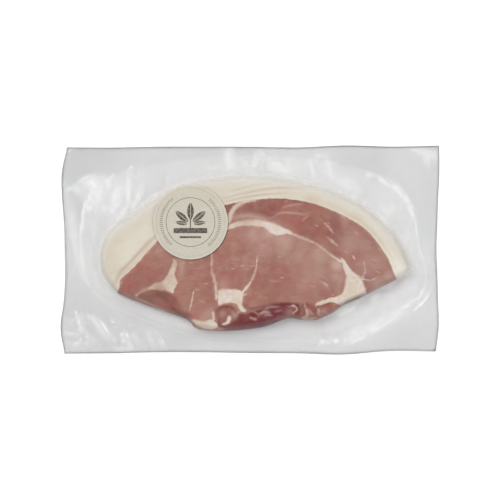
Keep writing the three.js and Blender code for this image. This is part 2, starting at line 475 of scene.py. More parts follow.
TENT_FOOT = (
    (-101, -33), (-111, -13), (-113, 10), (-111, 29), (-100, 46), (-79, 56), (-49, 61), (-13, 63),
    (27, 63), (60, 58), (86, 50), (102, 39), (109, 23), (112, 3), (117, -15), (115, -29), (105, -38),
    (97, -42), (79, -55), (64, -61), (40, -62), (7, -61), (-26, -59), (-53, -54), (-79, -44),
)
steak_outline = spline(np.array(STEAK_OUTLINE) * STEAK_LENGTH, closed=True)
lean_outline = spline(np.array(LEAN_OUTLINE) * STEAK_LENGTH, closed=True)
tent_foot = spline(TENT_FOOT, closed=True)
print("pouch in mm:", round(POUCH_LENGTH, 1), "by", round(POUCH_WIDTH, 1))

# %% [markdown]
# ## The film as a height field
# Shrunk film does three things: it lies on the steak, it falls away from the steak's edge in a tent, and
# it lies flat on the back film further out. One formula gives all three from two distances: how far a
# point is inside the tent's foot, and how far it is outside the steak's shoulder. Rows of pleats stand in
# the slack film, where it had to gather to get round the steak.

# %% Film height
# Each row: roots of its first and last pleat, their directions in degrees, count, length and height
PLEAT_ROWS = (
    ((-113, -42), (-64, -54), (-62, -50), 5, 15, 1.2),
    ((40, -52), (64, -51), (-55, -72), 3, 13, 1.1),
    ((92, -28), (108, -28), (-95, -60), 3, 16, 1),
    ((99, 32), (104, 12), (12, -12), 3, 10, 0.8),
    ((60, 41), (86, 30), (45, 28), 4, 14, 1),
    ((-18, 52), (53, 50), (98, 86), 7, 11, 1.1),
    ((-98, 30), (-78, 38), (104, 86), 3, 22, 1.6),
    ((-109, 2), (-104, -12), (100, 165), 2, 26, 1.1),
)
PLEAT_WIDTH = 2.0
PLEAT_EASE = 0.55
PLEAT_LESSER = 0.65
PLEAT_ROOT = 0.4
PLEAT_FADE = 1.5
PLEAT_STOP = 2


def pleat_height(x, y):
    """Height that the pleats add: each is a ridge with a bell-shaped section that dies out at both ends,
    and where two meet, the higher one counts."""
    highest = np.zeros(x.shape)
    for first, last, toward, count, length, height in PLEAT_ROWS:
        for i, share in enumerate(np.linspace(0, 1, count)):
            root_x, root_y = np.array(first) * (1 - share) + np.array(last) * share
            turn = math.radians(toward[0] * (1 - share) + toward[1] * share)
            along = ((x - root_x) * math.cos(turn) + (y - root_y) * math.sin(turn)) / length
            across = (y - root_y) * math.cos(turn) - (x - root_x) * math.sin(turn)
            outward = 1 - np.clip(along, 0, 1) ** PLEAT_FADE
            ends = np.where(along < 0, smooth(1 + along / PLEAT_ROOT), outward)
            tall = PLEAT_EASE * height * (PLEAT_LESSER if i % 2 else 1)
            highest = np.maximum(highest, tall * ends * np.exp(-(across / PLEAT_WIDTH) ** 2))
    return highest


def slack(depth):
    """1 where the film hangs free of the steak, and 0 where it lies on it."""
    return 1 - smooth((depth + PLEAT_STOP) / SHOULDER)


def film_height(x, y, depth, back=0.0):
    """The back film's height, plus the flange, plus the crown's rise over the flange times the tent: a
    sine, raised to a power, of how far the film has climbed from the tent's foot to the shoulder."""
    fat_drop = LEAN_RISE * (1 - blend(depth_inside(x, y, lean_outline), LEAN_STEP))
    crown = STEAK_THICKNESS - CROWN_DROP * (1 - smooth(depth / CROWN_REACH)) - fat_drop
    from_foot = np.maximum(0, depth_inside(x, y, tent_foot))
    to_shoulder = np.maximum(0, SHOULDER - depth)
    tent = np.sin(from_foot / (from_foot + to_shoulder) * math.pi / 2) ** TENT_POWER
    return back + FLANGE + (crown - FLANGE) * tent


places = np.array([[0.0, 0.0], [0.0, 62.0], [120.0, 60.0]]).T
depths = depth_inside(*places, steak_outline)
print("film height over the steak, in the tent and at a corner, mm:",
      np.round(film_height(*places, depths), 2).tolist())

# %% [markdown]
# ## From arrays to meshes
# Each piece is a grid of points over two parameters. Numpy works out all the points at once, and
# foreach_set hands whole arrays to the mesh, which is much faster than adding points one by one.

# %% Mesh helpers
def grid_faces(columns, rows, first=0, up=True):
    """Two triangles for each cell of a grid whose points are numbered row by row."""
    corner = first + np.arange(rows)[:, None] * (columns + 1) + np.arange(columns)
    a = corner.ravel()
    b, c, d = a + 1, a + columns + 2, a + columns + 1
    faces = np.vstack([np.stack([a, b, c], 1), np.stack([a, c, d], 1)])
    return faces if up else faces[:, ::-1]


def grid_border(columns, rows, first=0):
    """Point numbers round a grid, counter-clockwise from its lower left corner."""
    across = np.arange(columns)
    upward = np.arange(rows) * (columns + 1)
    last_row = rows * (columns + 1)
    return first + np.concatenate([
        across, columns + upward, last_row + columns - across, last_row - upward,
    ])


def build_piece(name, points, faces, attributes):
    """A smooth mesh object from points in millimetres, triangles, and one value or vector a point."""
    mesh = bpy.data.meshes.new(name)
    mesh.vertices.add(len(points))
    mesh.vertices.foreach_set("co", (points * MM).astype(np.float32).ravel())
    mesh.loops.add(faces.size)
    mesh.loops.foreach_set("vertex_index", faces.astype(np.int32).ravel())
    mesh.polygons.add(len(faces))
    mesh.polygons.foreach_set("loop_start", np.arange(0, faces.size, 3, dtype=np.int32))
    mesh.update(calc_edges=True)
    mesh.shade_smooth()
    for label, values in attributes.items():
        kind, field = ("FLOAT", "value") if values.ndim == 1 else ("FLOAT_VECTOR", "vector")
        layer = mesh.attributes.new(label, kind, "POINT")
        layer.data.foreach_set(field, values.astype(np.float32).ravel())
    print(name, "has", len(faces), "triangles")
    return add_object(name, mesh)


WAVE_COUNT = 7
WAVE_STRETCH = (0.7, 1.4)
WAVE_SPREAD = 3


def waves(x, y, height, length, seed):
    """A soft random relief of about this height up and down: a few plane waves of about this length, in
    seeded directions, added up."""
    draw = np.random.default_rng(seed)
    total = np.zeros(x.shape)
    turns = draw.uniform(0, math.pi, WAVE_COUNT)
    phases = draw.uniform(0, 2 * math.pi, WAVE_COUNT)
    lengths = length / draw.uniform(*WAVE_STRETCH, WAVE_COUNT)
    for turn, phase, one_length in zip(turns, phases, lengths):
        along = x * math.cos(turn) + y * math.sin(turn)
        total += np.sin(along * 2 * math.pi / one_length + phase)
    return height * (total / WAVE_SPREAD)

# %% [markdown]
# ## The film
# The pouch is a bag, so its film is one closed skin: a fine grid on top, a coarse flat one underneath, and
# a narrow slanted rim that joins them, where the cut edge catches less light and has painted shade.
# Besides the pleats there are single creases, each a line with a ridge along it. They are what makes
# clear film visible at all. Along the creases, and in a few patches, milky white is painted on as a
# highlight.

# %% Film creases
# Each crease: the line that it follows, its half width and height in millimetres, and how strong its
# painted milky highlight is
CREASES = (
    # Upper left: a crossing at the edge, a wedge, and upright folds beside it
    (((-123, 44), (-118.5, 41), (-113.5, 38.5)), 1, 0.35, 0.4),
    (((-123, 37.5), (-118.5, 40), (-114, 43)), 1, 0.35, 0.4),
    (((-114, 42.5), (-107, 47.5), (-95, 48.5)), 1.5, 0.45, 0.5),
    (((-106, 45.5), (-101.5, 41), (-99.5, 33.5)), 3.4, 0.9, 0.9),
    (((-114, 38), (-105.6, 31.2), (-96.6, 26)), 1.6, 0.4, 0.45),
    (((-93, 27), (-90.5, 21), (-88.5, 15.5)), 1.9, 0.4, 0.45),
    (((-86.5, 41), (-88, 36), (-90, 30)), 2.5, 1, 1),
    (((-80.4, 48), (-80, 37), (-79.6, 27)), 1.4, 0.9, 1),
    (((-71, 41), (-73, 35), (-76.5, 27)), 1.9, 0.9, 0.9),
    (((-73.2, 55), (-72.3, 48)), 1.1, 0.35, 0.4),
    (((-53, 48.3), (-51.5, 45.3)), 2, 0.4, 0.6),
    (((-119.5, 31), (-117, 14), (-113, -3), (-109.7, -18)), 3, 0.9, 0.6),
    (((-103.5, 16.5), (-101.5, 8)), 1.8, 0.4, 0.4),
    # Lower left: long slanted folds, and short ones along the edge
    (((-112.4, -43), (-111.5, -49.7), (-108, -55), (-103, -60)), 1.5, 0.6, 0.4),
    (((-106.9, -44), (-100.3, -48.7), (-94.6, -55.3), (-89, -59.4)), 2.3, 0.9, 0.6),
    (((-83.3, -54.4), (-81.6, -58.5), (-79.5, -62.6)), 2.1, 0.85, 0.5),
    (((-77.7, -55.3), (-72.9, -61.9)), 1.4, 0.55, 0.4),
    (((-67.3, -55.3), (-63.5, -62.9)), 1.3, 0.5, 0.4),
    (((-59.6, -59.4), (-56.4, -63.5)), 1.3, 0.5, 0.4),
    (((-90, -64.5), (-84, -65.5), (-77, -64.8)), 1.2, 0.4, 0.6),
    (((-54.7, -46.6), (-44, -50.6)), 1.6, 0.3, 0.45),
    (((-122.5, -46.5), (-113.5, -46)), 1, 0.25, 0.4),
    (((-122.5, -55), (-113, -55)), 1, 0.25, 0.4),
    (((-119.5, -61), (-116.5, -62.5)), 1.3, 0.4, 0.5),
    (((-115, -63), (-112, -61)), 1.2, 0.4, 0.5),
    (((-109, -62.5), (-105.5, -61)), 1.2, 0.4, 0.4),
    # Lower right: a bright fan from the steak to where the tent ends, and a line outside it
    (((41.3, -54.7), (44, -58.5), (46.8, -62)), 2, 1, 0.5),
    (((50.1, -47), (53, -56), (55.4, -63)), 1.3, 0.55, 0.4),
    (((61.6, -50.3), (61.6, -63.5)), 1.2, 0.5, 0.4),
    (((64.3, -54), (66, -62.5)), 1.5, 0.6, 0.5),
    (((65, -61), (70, -58), (76, -56)), 1.6, 0.6, 0.6),
    (((77, -55.5), (79.5, -51.5), (85, -49.5)), 1.8, 0.7, 0.6),
    (((79, -55), (88, -48.5), (99, -40.5)), 1.3, 0.35, 0.5),
    (((82, -47), (91, -42.5), (100, -36)), 6, 0.6, 0.7),
    (((60, -52), (77, -48), (94, -38), (104, -26)), 7.5, 0.1, 0.65),
    (((107.6, -32), (108, -25)), 3, 0.5, 0.5),
    (((106.7, -40.3), (110.4, -36.6), (116, -30.5), (119, -24)), 1.3, 0.55, 0.45),
    # Upper right: one long curl with a branch, and soft dents inside it
    (((85.5, 48.4), (93.4, 44.9), (101.4, 37.8), (104, 32.5), (107.6, 22.8), (105.8, 12.2), (102.3, 3.3)),
     1.1, 0.1, 0.5),
    (((97.8, 29), (107.2, 31.4)), 0.9, 0.35, 0.5),
    (((90, 27.5), (94, 25)), 4.4, 0.8, 1),
    (((102.5, 10), (103.5, 4), (101, -1)), 3.4, 0.6, 0.9),
    (((104, 2), (109, -8), (111, -18)), 6.5, 0.3, 0.8),
    (((108, 66.5), (113, 64.5), (119, 63), (124, 62.5)), 1.7, 0.5, 0.9),
    (((116, 61.5), (117, 57)), 1.7, 0.45, 0.8),
    # Top: short folds between the fat and the edge
    (((-14.5, 66), (-13.3, 58), (-13.7, 52.2)), 2.7, 0.8, 0.9),
    (((-3, 58.5), (-3, 53.5)), 1.6, 0.5, 0.7),
    (((5, 60.5), (3.3, 56.4), (1.3, 52.2)), 2.2, 0.7, 0.85),
    (((3.5, 63.5), (10.5, 63.2)), 1.9, 0.35, 0.5),
    (((13.5, 56.8), (18.3, 53.9), (26.5, 51)), 2.9, 0.8, 1),
    (((25.5, 61.2), (27, 58)), 1.8, 0.45, 0.5),
    (((39.6, 59.5), (41, 52), (43, 45.6)), 1.1, 0.5, 0.8),
    (((43, 62.8), (50.5, 62.2)), 1.4, 0.35, 0.6),
    (((51, 58.5), (52.3, 52), (54.8, 46.3)), 2.3, 0.7, 0.8),
    (((55, 46.6), (61, 44)), 2.6, 0.3, 0.4),
    (((61.5, 44.8), (67, 41)), 4.2, 0.8, 0.95),
)
CREASE_TAPER = 0.6
CREASE_EASE = 0.85
GLEAM_REACH = 1.25
GLEAM_TAPER = 0.3
GLEAM_LEAST = 0.05
# Painted milky highlights between folds, in patches with crisp edges: their corners, and how strong
# they are
GLEAM_PATCHES = (
    (((67, -62.5), (77, -55.3), (79.5, -56.3), (100, -40.3), (102, -31.5), (87, -30), (76, -47.5),
      (64, -55.5)), 0.5),
    (((-118, 39.5), (-107.5, 46.8), (-93.5, 49.3), (-96, 40), (-98.5, 28), (-106, 36)), 0.45),
    (((13, 56.5), (19, 55.5), (28, 51), (22, 50.5), (12.5, 52.5)), 0.5),
    (((103, -12), (112, -10), (113, -24), (108, -37), (103, -36), (101, -24)), 0.4),
)
PATCH_BLUR = 1.4


def creased(x, y):
    """Ridges and the painted milky highlight along the creases: bell-shaped sections whose strength follows
    a sine, raised to a power, from end to end of the line. Ridges add up. The highlight is one less the
    product of what each crease and each patch leaves clear."""
    ridge, clear = np.zeros(x.shape), np.ones(x.shape)
    for line, width, height, gleam_strength in CREASES:
        away, share = along_line(x, y, spline(line))
        ridge += CREASE_EASE * height * taper(share, 0, CREASE_TAPER) * np.exp(-(away / width) ** 2)
        # Painted milky highlight along the crease, a little wider than its ridge
        soft = taper(share, GLEAM_LEAST, GLEAM_TAPER)
        clear *= 1 - gleam_strength * soft * np.exp(-(away / (width * GLEAM_REACH)) ** 2)
    for corners, gleam_strength in GLEAM_PATCHES:
        clear *= 1 - gleam_strength * blend(depth_inside(x, y, np.array(corners)), PATCH_BLUR)
    return ridge, 1 - clear


# %% Film surface
TOP_COLUMNS, TOP_ROWS = 400, 220
COARSER = 4
RIM_SLANT = 0.45
LABEL_CENTRE = np.array([-39, 18.3])
LABEL_RADIUS = 24.5
# The film begins to cling this far outside the fat and the lean, and clings fully after this reach
FAT_CLING = 1.0
LEAN_CLING = 3
CLING_REACH = 4
FAT_START = 4
# The veil on the fat, a haze that is partly a painted sheen of the film, is strongest at its outer edge
# and dies out over these widths
VEIL_OUTWARD = 1.4
VEIL_INWARD = 5.4
TENT_EASE = 8
CALM_REACH = 6
FILM_LEAST = 0.2
# Unevenness of the film: height, usual length and seed
SWELL = (0.14, 34, 3)
TIGHT_RELIEF = (0.05, 9, 4)
TENT_RELIEF = (0.28, 15, 5)
CRINKLES = (0.2, 6, 6)
# Where the film is a little cloudier: middle, half width and strength
CLOUDY_PLACES = (
    (-112, 60, 26, 1), (-108, 20, 24, 0.8), (-100, -48, 30, 0.8), (-60, -66, 30, 0.5),
    (110, -58, 24, 0.2), (-30, 66, 40, 0.5), (75, 62, 30, 0.4),
)
# Where the film is finely crinkled, in the same form
CRINKLED_PLACES = (
    (-114, -62, 13, 1), (-88, -61, 11, 0.7), (-64, -62, 9, 0.5), (-101, 42, 14, 0.5), (-78, 44, 10, 0.5),
    (0, 58, 12, 0.5), (45, 57, 12, 0.4), (52, -60, 9, 0.6), (74, -55, 9, 0.6), (107, -38, 8, 0.6),
    (106, 28, 10, 0.4),
)


def soft_places(x, y, places):
    """Bells round the listed middles, the strongest counting where they overlap."""
    strongest = np.zeros(x.shape)
    for middle_x, middle_y, width, strength in places:
        away = np.hypot(x - middle_x, y - middle_y)
        strongest = np.maximum(strongest, strength * np.exp(-(away / width) ** 2))
    return strongest


def inset_along(insets, share):
    """How far an edge is drawn in, on a smooth curve through its evenly spaced insets."""
    curve = spline(list(enumerate(insets)))
    return np.maximum(0, np.interp(share * (len(insets) - 1), curve[:, 0], curve[:, 1]))


def pouch_plan(columns, rows, slant=0.0):
    """Where a grid of shares (u, v) of the pouch lies: straight from drawn-in edge to drawn-in edge, first
    along the length and then along the width. Also how much the edges there curl up, and how far in."""
    u, v = np.meshgrid(np.linspace(0, 1, columns + 1), np.linspace(0, 1, rows + 1))
    left, right = inset_along(EDGE_INSETS["left"], v), inset_along(EDGE_INSETS["right"], v)
    bottom, top = inset_along(EDGE_INSETS["bottom"], u), inset_along(EDGE_INSETS["top"], u)
    half_length, half_width = POUCH_LENGTH / 2 - slant, POUCH_WIDTH / 2 - slant
    x = (left - half_length) * (1 - u) + (half_length - right) * u
    y = (bottom - half_width) * (1 - v) + (half_width - top) * v
    edges = ((left, u * POUCH_LENGTH), (right, (1 - u) * POUCH_LENGTH),
             (bottom, v * POUCH_WIDTH), (top, (1 - v) * POUCH_WIDTH))
    curls = [drawn * CURL_PER_INSET * np.maximum(0, 1 - away / CURL_REACH) ** 2 for drawn, away in edges]
    rim = np.min([away for _, away in edges], axis=0)
    return x.ravel(), y.ravel(), np.max(curls, axis=0).ravel(), rim.ravel()


def top_film():
    """The top skin: the tented height field with pleats, creases and a soft unevenness, calm under the
    label and on the steak. Returns the points and what the material needs to know."""
    x, y, curl, rim = pouch_plan(TOP_COLUMNS, TOP_ROWS, RIM_SLANT)
    depth = depth_inside(x, y, steak_outline)
    free = slack(depth)
    on_fat = smooth((-depth_inside(x, y, lean_outline) - FAT_START) / FAT_START)
    cling = smooth((depth + LEAN_CLING + (FAT_CLING - LEAN_CLING) * on_fat) / CLING_REACH)
    # The veil: a haze over the fat's outer edge, partly a painted sheen of the film there
    veil = on_fat * np.exp(-(depth / np.where(depth < 0, VEIL_OUTWARD, VEIL_INWARD)) ** 2)
    in_tent = smooth(depth_inside(x, y, tent_foot) / TENT_EASE)
    from_label = np.hypot(x - LABEL_CENTRE[0], y - LABEL_CENTRE[1]) - LABEL_RADIUS
    uneven = (waves(x, y, *SWELL) + waves(x, y, *TIGHT_RELIEF) * (1 - free)
              + waves(x, y, *TENT_RELIEF) * free * in_tent
              + waves(x, y, *CRINKLES) * free * soft_places(x, y, CRINKLED_PLACES))
    # The ridges are shape, and the milky values are painted highlights
    ridge, painted_gleam = creased(x, y)
    z = film_height(x, y, depth, curl) + (pleat_height(x, y) + ridge) * free
    calmed = uneven * smooth(from_label / CALM_REACH) * smooth(rim / CALM_REACH)
    z = np.maximum(z + calmed, curl + FILM_LEAST)
    known = {"rim": rim, "cling": cling, "veil": veil, "painted_gleam": painted_gleam * free,
             "cloud": soft_places(x, y, CLOUDY_PLACES)}
    return np.stack([x, y, z], 1), known


def make_film():
    """Top skin, back skin and the rim between them. One coarse cell of the back meets four fine cells."""
    top, known = top_film()
    columns, rows = TOP_COLUMNS // COARSER, TOP_ROWS // COARSER
    x, y, curl, back_rim = pouch_plan(columns, rows)
    back = np.stack([x, y, curl], 1)
    upper = grid_border(TOP_COLUMNS, TOP_ROWS)
    lower = grid_border(columns, rows, len(top))
    faces = [grid_faces(TOP_COLUMNS, TOP_ROWS), grid_faces(columns, rows, len(top), up=False)]
    following = np.roll(lower, -1)
    for step in range(COARSER):
        fine = upper[step::COARSER]
        next_fine = np.roll(upper, -1)[step::COARSER]
        faces.append(np.stack([lower if step < COARSER // 2 else following, next_fine, fine], 1))
        if step == COARSER // 2 - 1:
            faces.append(np.stack([lower, following, next_fine], 1))
    points = np.vstack([top, back])
    plain = np.zeros(len(back))
    attributes = {name: np.concatenate([values, plain]) for name, values in known.items()}
    attributes["rim"][len(top):] = back_rim
    return build_piece("film", points, np.vstack(faces), attributes)


film = make_film()

# %% [markdown]
# ## What clear film looks like
# Real film lets most light through, mirrors a little and scatters a little. One shader does all three: it
# is mostly see-through, and the small part that isn't is mostly mirror. So flat film dims what is under
# it to a soft grey, and a crease that mirrors a soft box shines. Along the creases and in a few patches,
# milky white is painted on as a highlight: there the film scatters instead of mirroring, and its haze
# thins. Over the fat's outer edge a haze, partly a painted sheen, takes the mirror's place as well. Film
# mirrors more the flatter one looks along it, so the share that isn't see-through grows with a power of
# how much the film is turned away. The cut edge is darker, as painted shade, with a painted highlight in
# a thin light line inside it.

# %% Film material
MIRROR_SHARE = 0.85
LAYER_BLEND = 0.5
GLANCE_POWER = 4
GLANCE_MOST = 0.6
CLOUD_STRENGTH = 0.09
RIM_STRENGTH = 0.1
VEIL_SPREAD = 0.3
GLEAM_THINS_HAZE = 0.25
FILM_COLOUR = paint(230, 230, 230)
HIGHLIGHT_COLOUR = paint(238, 238, 238)
VEIL_COLOUR = paint(203, 200, 193)
EDGE_SHADE_COLOUR = paint(110, 111, 112)
# Where the painted shade of the edge ends, and where the painted highlight line inside it begins and
# ends, in millimetres from the rim
EDGE_SHADE_END = (0.1, 0.7)
HIGHLIGHT_LINE_START = (0.4, 0.9)
HIGHLIGHT_LINE_END = (1.1, 1.9)
# Mottles: scale, detail, and the lowest and highest value
FREE_HAZE = (28, 3, 0.205, 0.23)
CLING_HAZE = (60, 2, 0.03, 0.05)
VEIL_HAZE = (70, 2, 0.2, 0.3)
GLEAM_HAZE = (150, 3, 0.02, 0.12)
FINE_CRINKLE = (220, 4, 0, 1)
FILM_ROUGHNESS = 0.22
FILM_BUMP = (0.25, 0.00025)


def film_material():
    """Alpha adds up what hides the floor: haze, the glance, clouds, the veil on the fat (partly a painted
    sheen), the painted milky highlights, the painted shade of the edge and the painted highlight line
    inside it. The milky highlight takes some of the haze away, and the mirror's share falls as it or the
    veil grows."""
    material, tree = new_material("clear_film")
    place = tree.place()
    rim, veil, painted_gleam = tree.attribute("rim"), tree.attribute("veil"), tree.attribute("painted_gleam")
    free_haze = mottle(tree, place, *FREE_HAZE)
    cling_haze = mottle(tree, place, *CLING_HAZE)
    haze = tree.times_plus(tree.attribute("cling"), tree.minus(cling_haze, free_haze), free_haze)
    # Under the painted milky highlight the haze thins, so the film shows brighter there
    haze = tree.times(haze, tree.times_plus(painted_gleam, -GLEAM_THINS_HAZE, 1))
    facing = tree.node("ShaderNodeLayerWeight", LAYER_BLEND).outputs["Facing"]
    glance = tree.times(tree.power(facing, GLANCE_POWER), GLANCE_MOST)
    # Painted shade at the cut edge, and a painted highlight in a thin line just inside it
    edge = tree.step(rim, *EDGE_SHADE_END, 1, 0)
    highlight_line = tree.times(tree.step(rim, *HIGHLIGHT_LINE_START), tree.step(rim, *HIGHLIGHT_LINE_END, 1, 0))
    hiding = (
        (tree.attribute("cloud"), CLOUD_STRENGTH), (veil, mottle(tree, place, *VEIL_HAZE)),
        (painted_gleam, mottle(tree, place, *GLEAM_HAZE)), (edge, RIM_STRENGTH), (highlight_line, RIM_STRENGTH),
    )
    alpha = tree.plus(haze, glance)
    for amount, strength in hiding:
        alpha = tree.times_plus(amount, strength, alpha)
    colour = tree.mix(veil, FILM_COLOUR, VEIL_COLOUR)
    # Both painted highlights, the line inside the edge and the milky places, take the highlight colour
    colour = tree.mix(tree.greatest(highlight_line, painted_gleam), colour, HIGHLIGHT_COLOUR)
    colour = tree.mix(edge, colour, EDGE_SHADE_COLOUR)
    scattering = tree.greatest(tree.power(veil, VEIL_SPREAD), painted_gleam)
    mirror = tree.times_plus(scattering, -MIRROR_SHARE, MIRROR_SHARE, clamp=True)
    crinkle = mottle(tree, place, *FINE_CRINKLE)
    finish_material(tree, {
        "Base Color": colour, "Metallic": mirror, "Roughness": FILM_ROUGHNESS, "Alpha": alpha,
        "Normal": tree.bump(crinkle, *FILM_BUMP),
    })
    return material


film.data.materials.append(film_material())
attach(film, "root")
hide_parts("pouch")

# %% [markdown]
# ## The steak's body
# A steak is a slice: the same outline above and below, with rounded cut edges. A square grid is bent into
# a disc without a pole, the disc is stretched to the steak's outline, and each point is lifted by its
# depth inside the outline. The top lies just under the film, and the back just above the back film.

# %% Steak grid
STEAK_COLUMNS, STEAK_ROWS = 312, 156
STEAK_CENTRE = np.array([3.0, -5.0])
STEAK_HALF = np.array([102.0, 50.0])
FILM_GAP = 0.45
STEAK_FLOOR = 0.35
STEAK_MIDDLE = 3.6
TOP_ROUND = 4.2
BACK_ROUND = 2.6


def steak_plan():
    """A square (u, v) becomes a disc by x = u times the root of 1 - v squared / 2, and likewise for y. The
    disc becomes an ellipse, and each ray of it is stretched to end on the steak's outline."""
    u, v = np.meshgrid(np.linspace(-1, 1, STEAK_COLUMNS + 1), np.linspace(-1, 1, STEAK_ROWS + 1))
    across = (u * np.sqrt(1 - v**2 / 2)).ravel() * STEAK_HALF[0]
    upward = (v * np.sqrt(1 - u**2 / 2)).ravel() * STEAK_HALF[1]
    ring = steak_outline - STEAK_CENTRE
    ring_angle = np.arctan2(ring[:, 1], ring[:, 0])
    order = np.argsort(ring_angle)
    angle = np.arctan2(upward, across)
    reach = np.interp(angle, ring_angle[order], np.hypot(*ring.T)[order], period=2 * math.pi)
    ellipse = 1 / np.hypot(np.cos(angle) / STEAK_HALF[0], np.sin(angle) / STEAK_HALF[1])
    stretch = reach / ellipse
    return across * stretch + STEAK_CENTRE[0], upward * stretch + STEAK_CENTRE[1]


steak_x, steak_y = steak_plan()
steak_depth = np.maximum(0, depth_inside(steak_x, steak_y, steak_outline))
print("steak plan in mm:", round(np.ptp(steak_x), 1), "by", round(np.ptp(steak_y), 1))

# %% [markdown]
# ## What the cut shows
# A slice through a leg or loin of pork shows several muscles, each with its own shade and grain, white
# seams of connective tissue between them, a cap of fat, and thin tan membranes in the fat. Each is drawn
# once: as a line with a width, as an outline, or as a soft round place. Every point of the steak then
# learns how deep it lies in each of them, and the material turns those depths into colour. Nothing is a
# picture, so the cut can be looked at as closely as one likes, from above or from below.

# %% White tissue
# Lines: their points, and their width at the start, in the middle and at the end
WHITE_LINES = (
    (((-16, 14.2), (-6.7, 17.4), (0.3, 17.9), (7.2, 17.4), (14.1, 15.9), (21.1, 13.2), (26.2, 11.2)),
     (3, 4.6, 2.8)),
    (((26.2, 11.2), (32.3, 8.5), (38.6, 6.2), (43.6, 3.9), (48.7, 0.1), (52.5, -3), (59.4, -7.5)),
     (1.6, 0.7, 1.8)),
    (((-14.4, 18.6), (-12.6, 23.2), (-10, 27.6), (-5, 31), (3.5, 32.6)), (3.6, 3, 0.8)),
    (((-25.1, -2), (-24.9, -14.1), (-23.2, -20.1), (-22.3, -26), (-22.1, -31.9)), (0.5, 1, 1.7)),
    (((4.8, -4), (3.6, -13.2), (0.4, -21.1), (-2.5, -24.7), (-5.7, -29)), (0.5, 1.1, 2.2)),
    (((-36.7, -26.5), (-37.8, -32), (-39.6, -39.5)), (0.2, 0.8, 0.3)),
    (((49, 17.6), (51.5, 15.2), (54.2, 11.3)), (0.2, 0.8, 0.3)),
    (((50.7, 8.3), (54, 5.4), (57.5, 3)), (0.2, 0.9, 0.3)),
    (((67.5, -3.8), (68.4, -5.4), (69.4, -7.2)), (0.4, 1.1, 0.4)),
    (((74.5, -7.6), (75.4, -10), (75.6, -13.4), (73.8, -18)), (0.3, 0.9, 0.6)),
    (((73.6, -19), (78.9, -19.8), (82.8, -18.2)), (1.4, 0.8, 0.3)),
    (((-69, -25.8), (-75, -29.8)), (1, 0.7, 0.4)),
    (((35.4, -34.6), (36.4, -37.6), (37.8, -42.6), (34.4, -44.4)), (0.5, 1, 0.9)),
    (((43, -37.5), (45.6, -40.4), (44.6, -42.6)), (0.3, 0.8, 0.4)),
    (((26.5, -36.4), (29.8, -36.8), (30.6, -39.2), (28.2, -41.4)), (0.3, 0.9, 0.3)),
    (((-2.4, -28.6), (-7.4, -32.4), (-6.2, -37), (-2.8, -39.6)), (0.8, 1.4, 0.8)),
    (((0.2, -44.4), (3.6, -45.6)), (0.3, 0.6, 0.3)),
    (((46, -20.5), (49.6, -22.6), (52.4, -26.2)), (0.2, 0.7, 0.2)),
    (((-25, -38.2), (-24.2, -42), (-23.6, -45.6)), (0.6, 2, 1.4)),
)
WHITE_SHAPES = (
    ((59.5, -4.8), (63.5, -8.8), (67.5, -14.2), (72.8, -18.4), (76, -26.5), (76.5, -30.5), (68, -33.6),
     (62, -37), (57.4, -35.4), (52.9, -34.2), (48.5, -35.4), (42.8, -37), (44.2, -34.5),
     (50.6, -31.9), (57.6, -29.9), (61.4, -26.5), (62.8, -17.6), (61, -11)),
    ((-50.4, -5.5), (-50.8, -8), (-52, -11.4), (-54.3, -16.7), (-57.6, -20.5), (-62.9, -22.2),
     (-66.2, -24.2), (-71.3, -27.5), (-68, -26.8), (-64.6, -25.9), (-59.8, -25.9), (-54.7, -26.6),
     (-50.6, -28.4), (-49.4, -25.2), (-47.4, -21.2), (-49.2, -16.6), (-48.2, -10.9), (-47.8, -7.6)),
    ((-20.6, -26.4), (-13.7, -25.5), (-6.6, -26.4), (-5, -27.8), (-4.6, -31.2), (-5.2, -35),
     (-7.4, -35.6), (-12, -34.6), (-17, -35.2), (-20.6, -36), (-21.3, -31.4)),
    ((-9.4, -33.6), (-6.6, -33.4), (-5.2, -35.4), (-4.2, -37.8), (-2.4, -39.6), (-4.2, -40.8),
     (-6.6, -39.8), (-8, -37)),
    ((-18.6, -48.4), (-15.6, -46.8), (-14.2, -43.4), (-12.2, -44), (-13.6, -47.8), (-16.6, -49.6)),
    ((-38, -45.4), (-31, -46.6), (-25.4, -45.4), (-21.6, -48.6), (-22.4, -51.6), (-29, -51.8),
     (-36, -48.6)),
    ((8, 16), (11.5, 13.2), (14, 10.9), (17.5, 9.7), (21, 9.9), (24, 11.2), (20, 13.6),
     (14, 16)),
    ((34, -44), (38.4, -44.4), (43.4, -44.2), (40, -46.6), (36, -46.2)),
)
FAR_OUTSIDE = -50.0


def white_depth(x, y):
    """Depth inside the nearest white tissue: half the line's width there less the distance to it, or the
    depth inside an outline, whichever is greatest."""
    deepest = np.full(x.shape, FAR_OUTSIDE)
    for line, widths in WHITE_LINES:
        away, share = along_line(x, y, spline(line))
        deepest = np.maximum(deepest, np.interp(share, (0, 0.5, 1), widths) / 2 - away)
    for outline in WHITE_SHAPES:
        deepest = np.maximum(deepest, depth_inside(x, y, spline(outline, closed=True)))
    return deepest


steak_white = white_depth(steak_x, steak_y)
print("share of the cut that is white tissue:", round(float(np.mean(steak_white > 0)), 3))

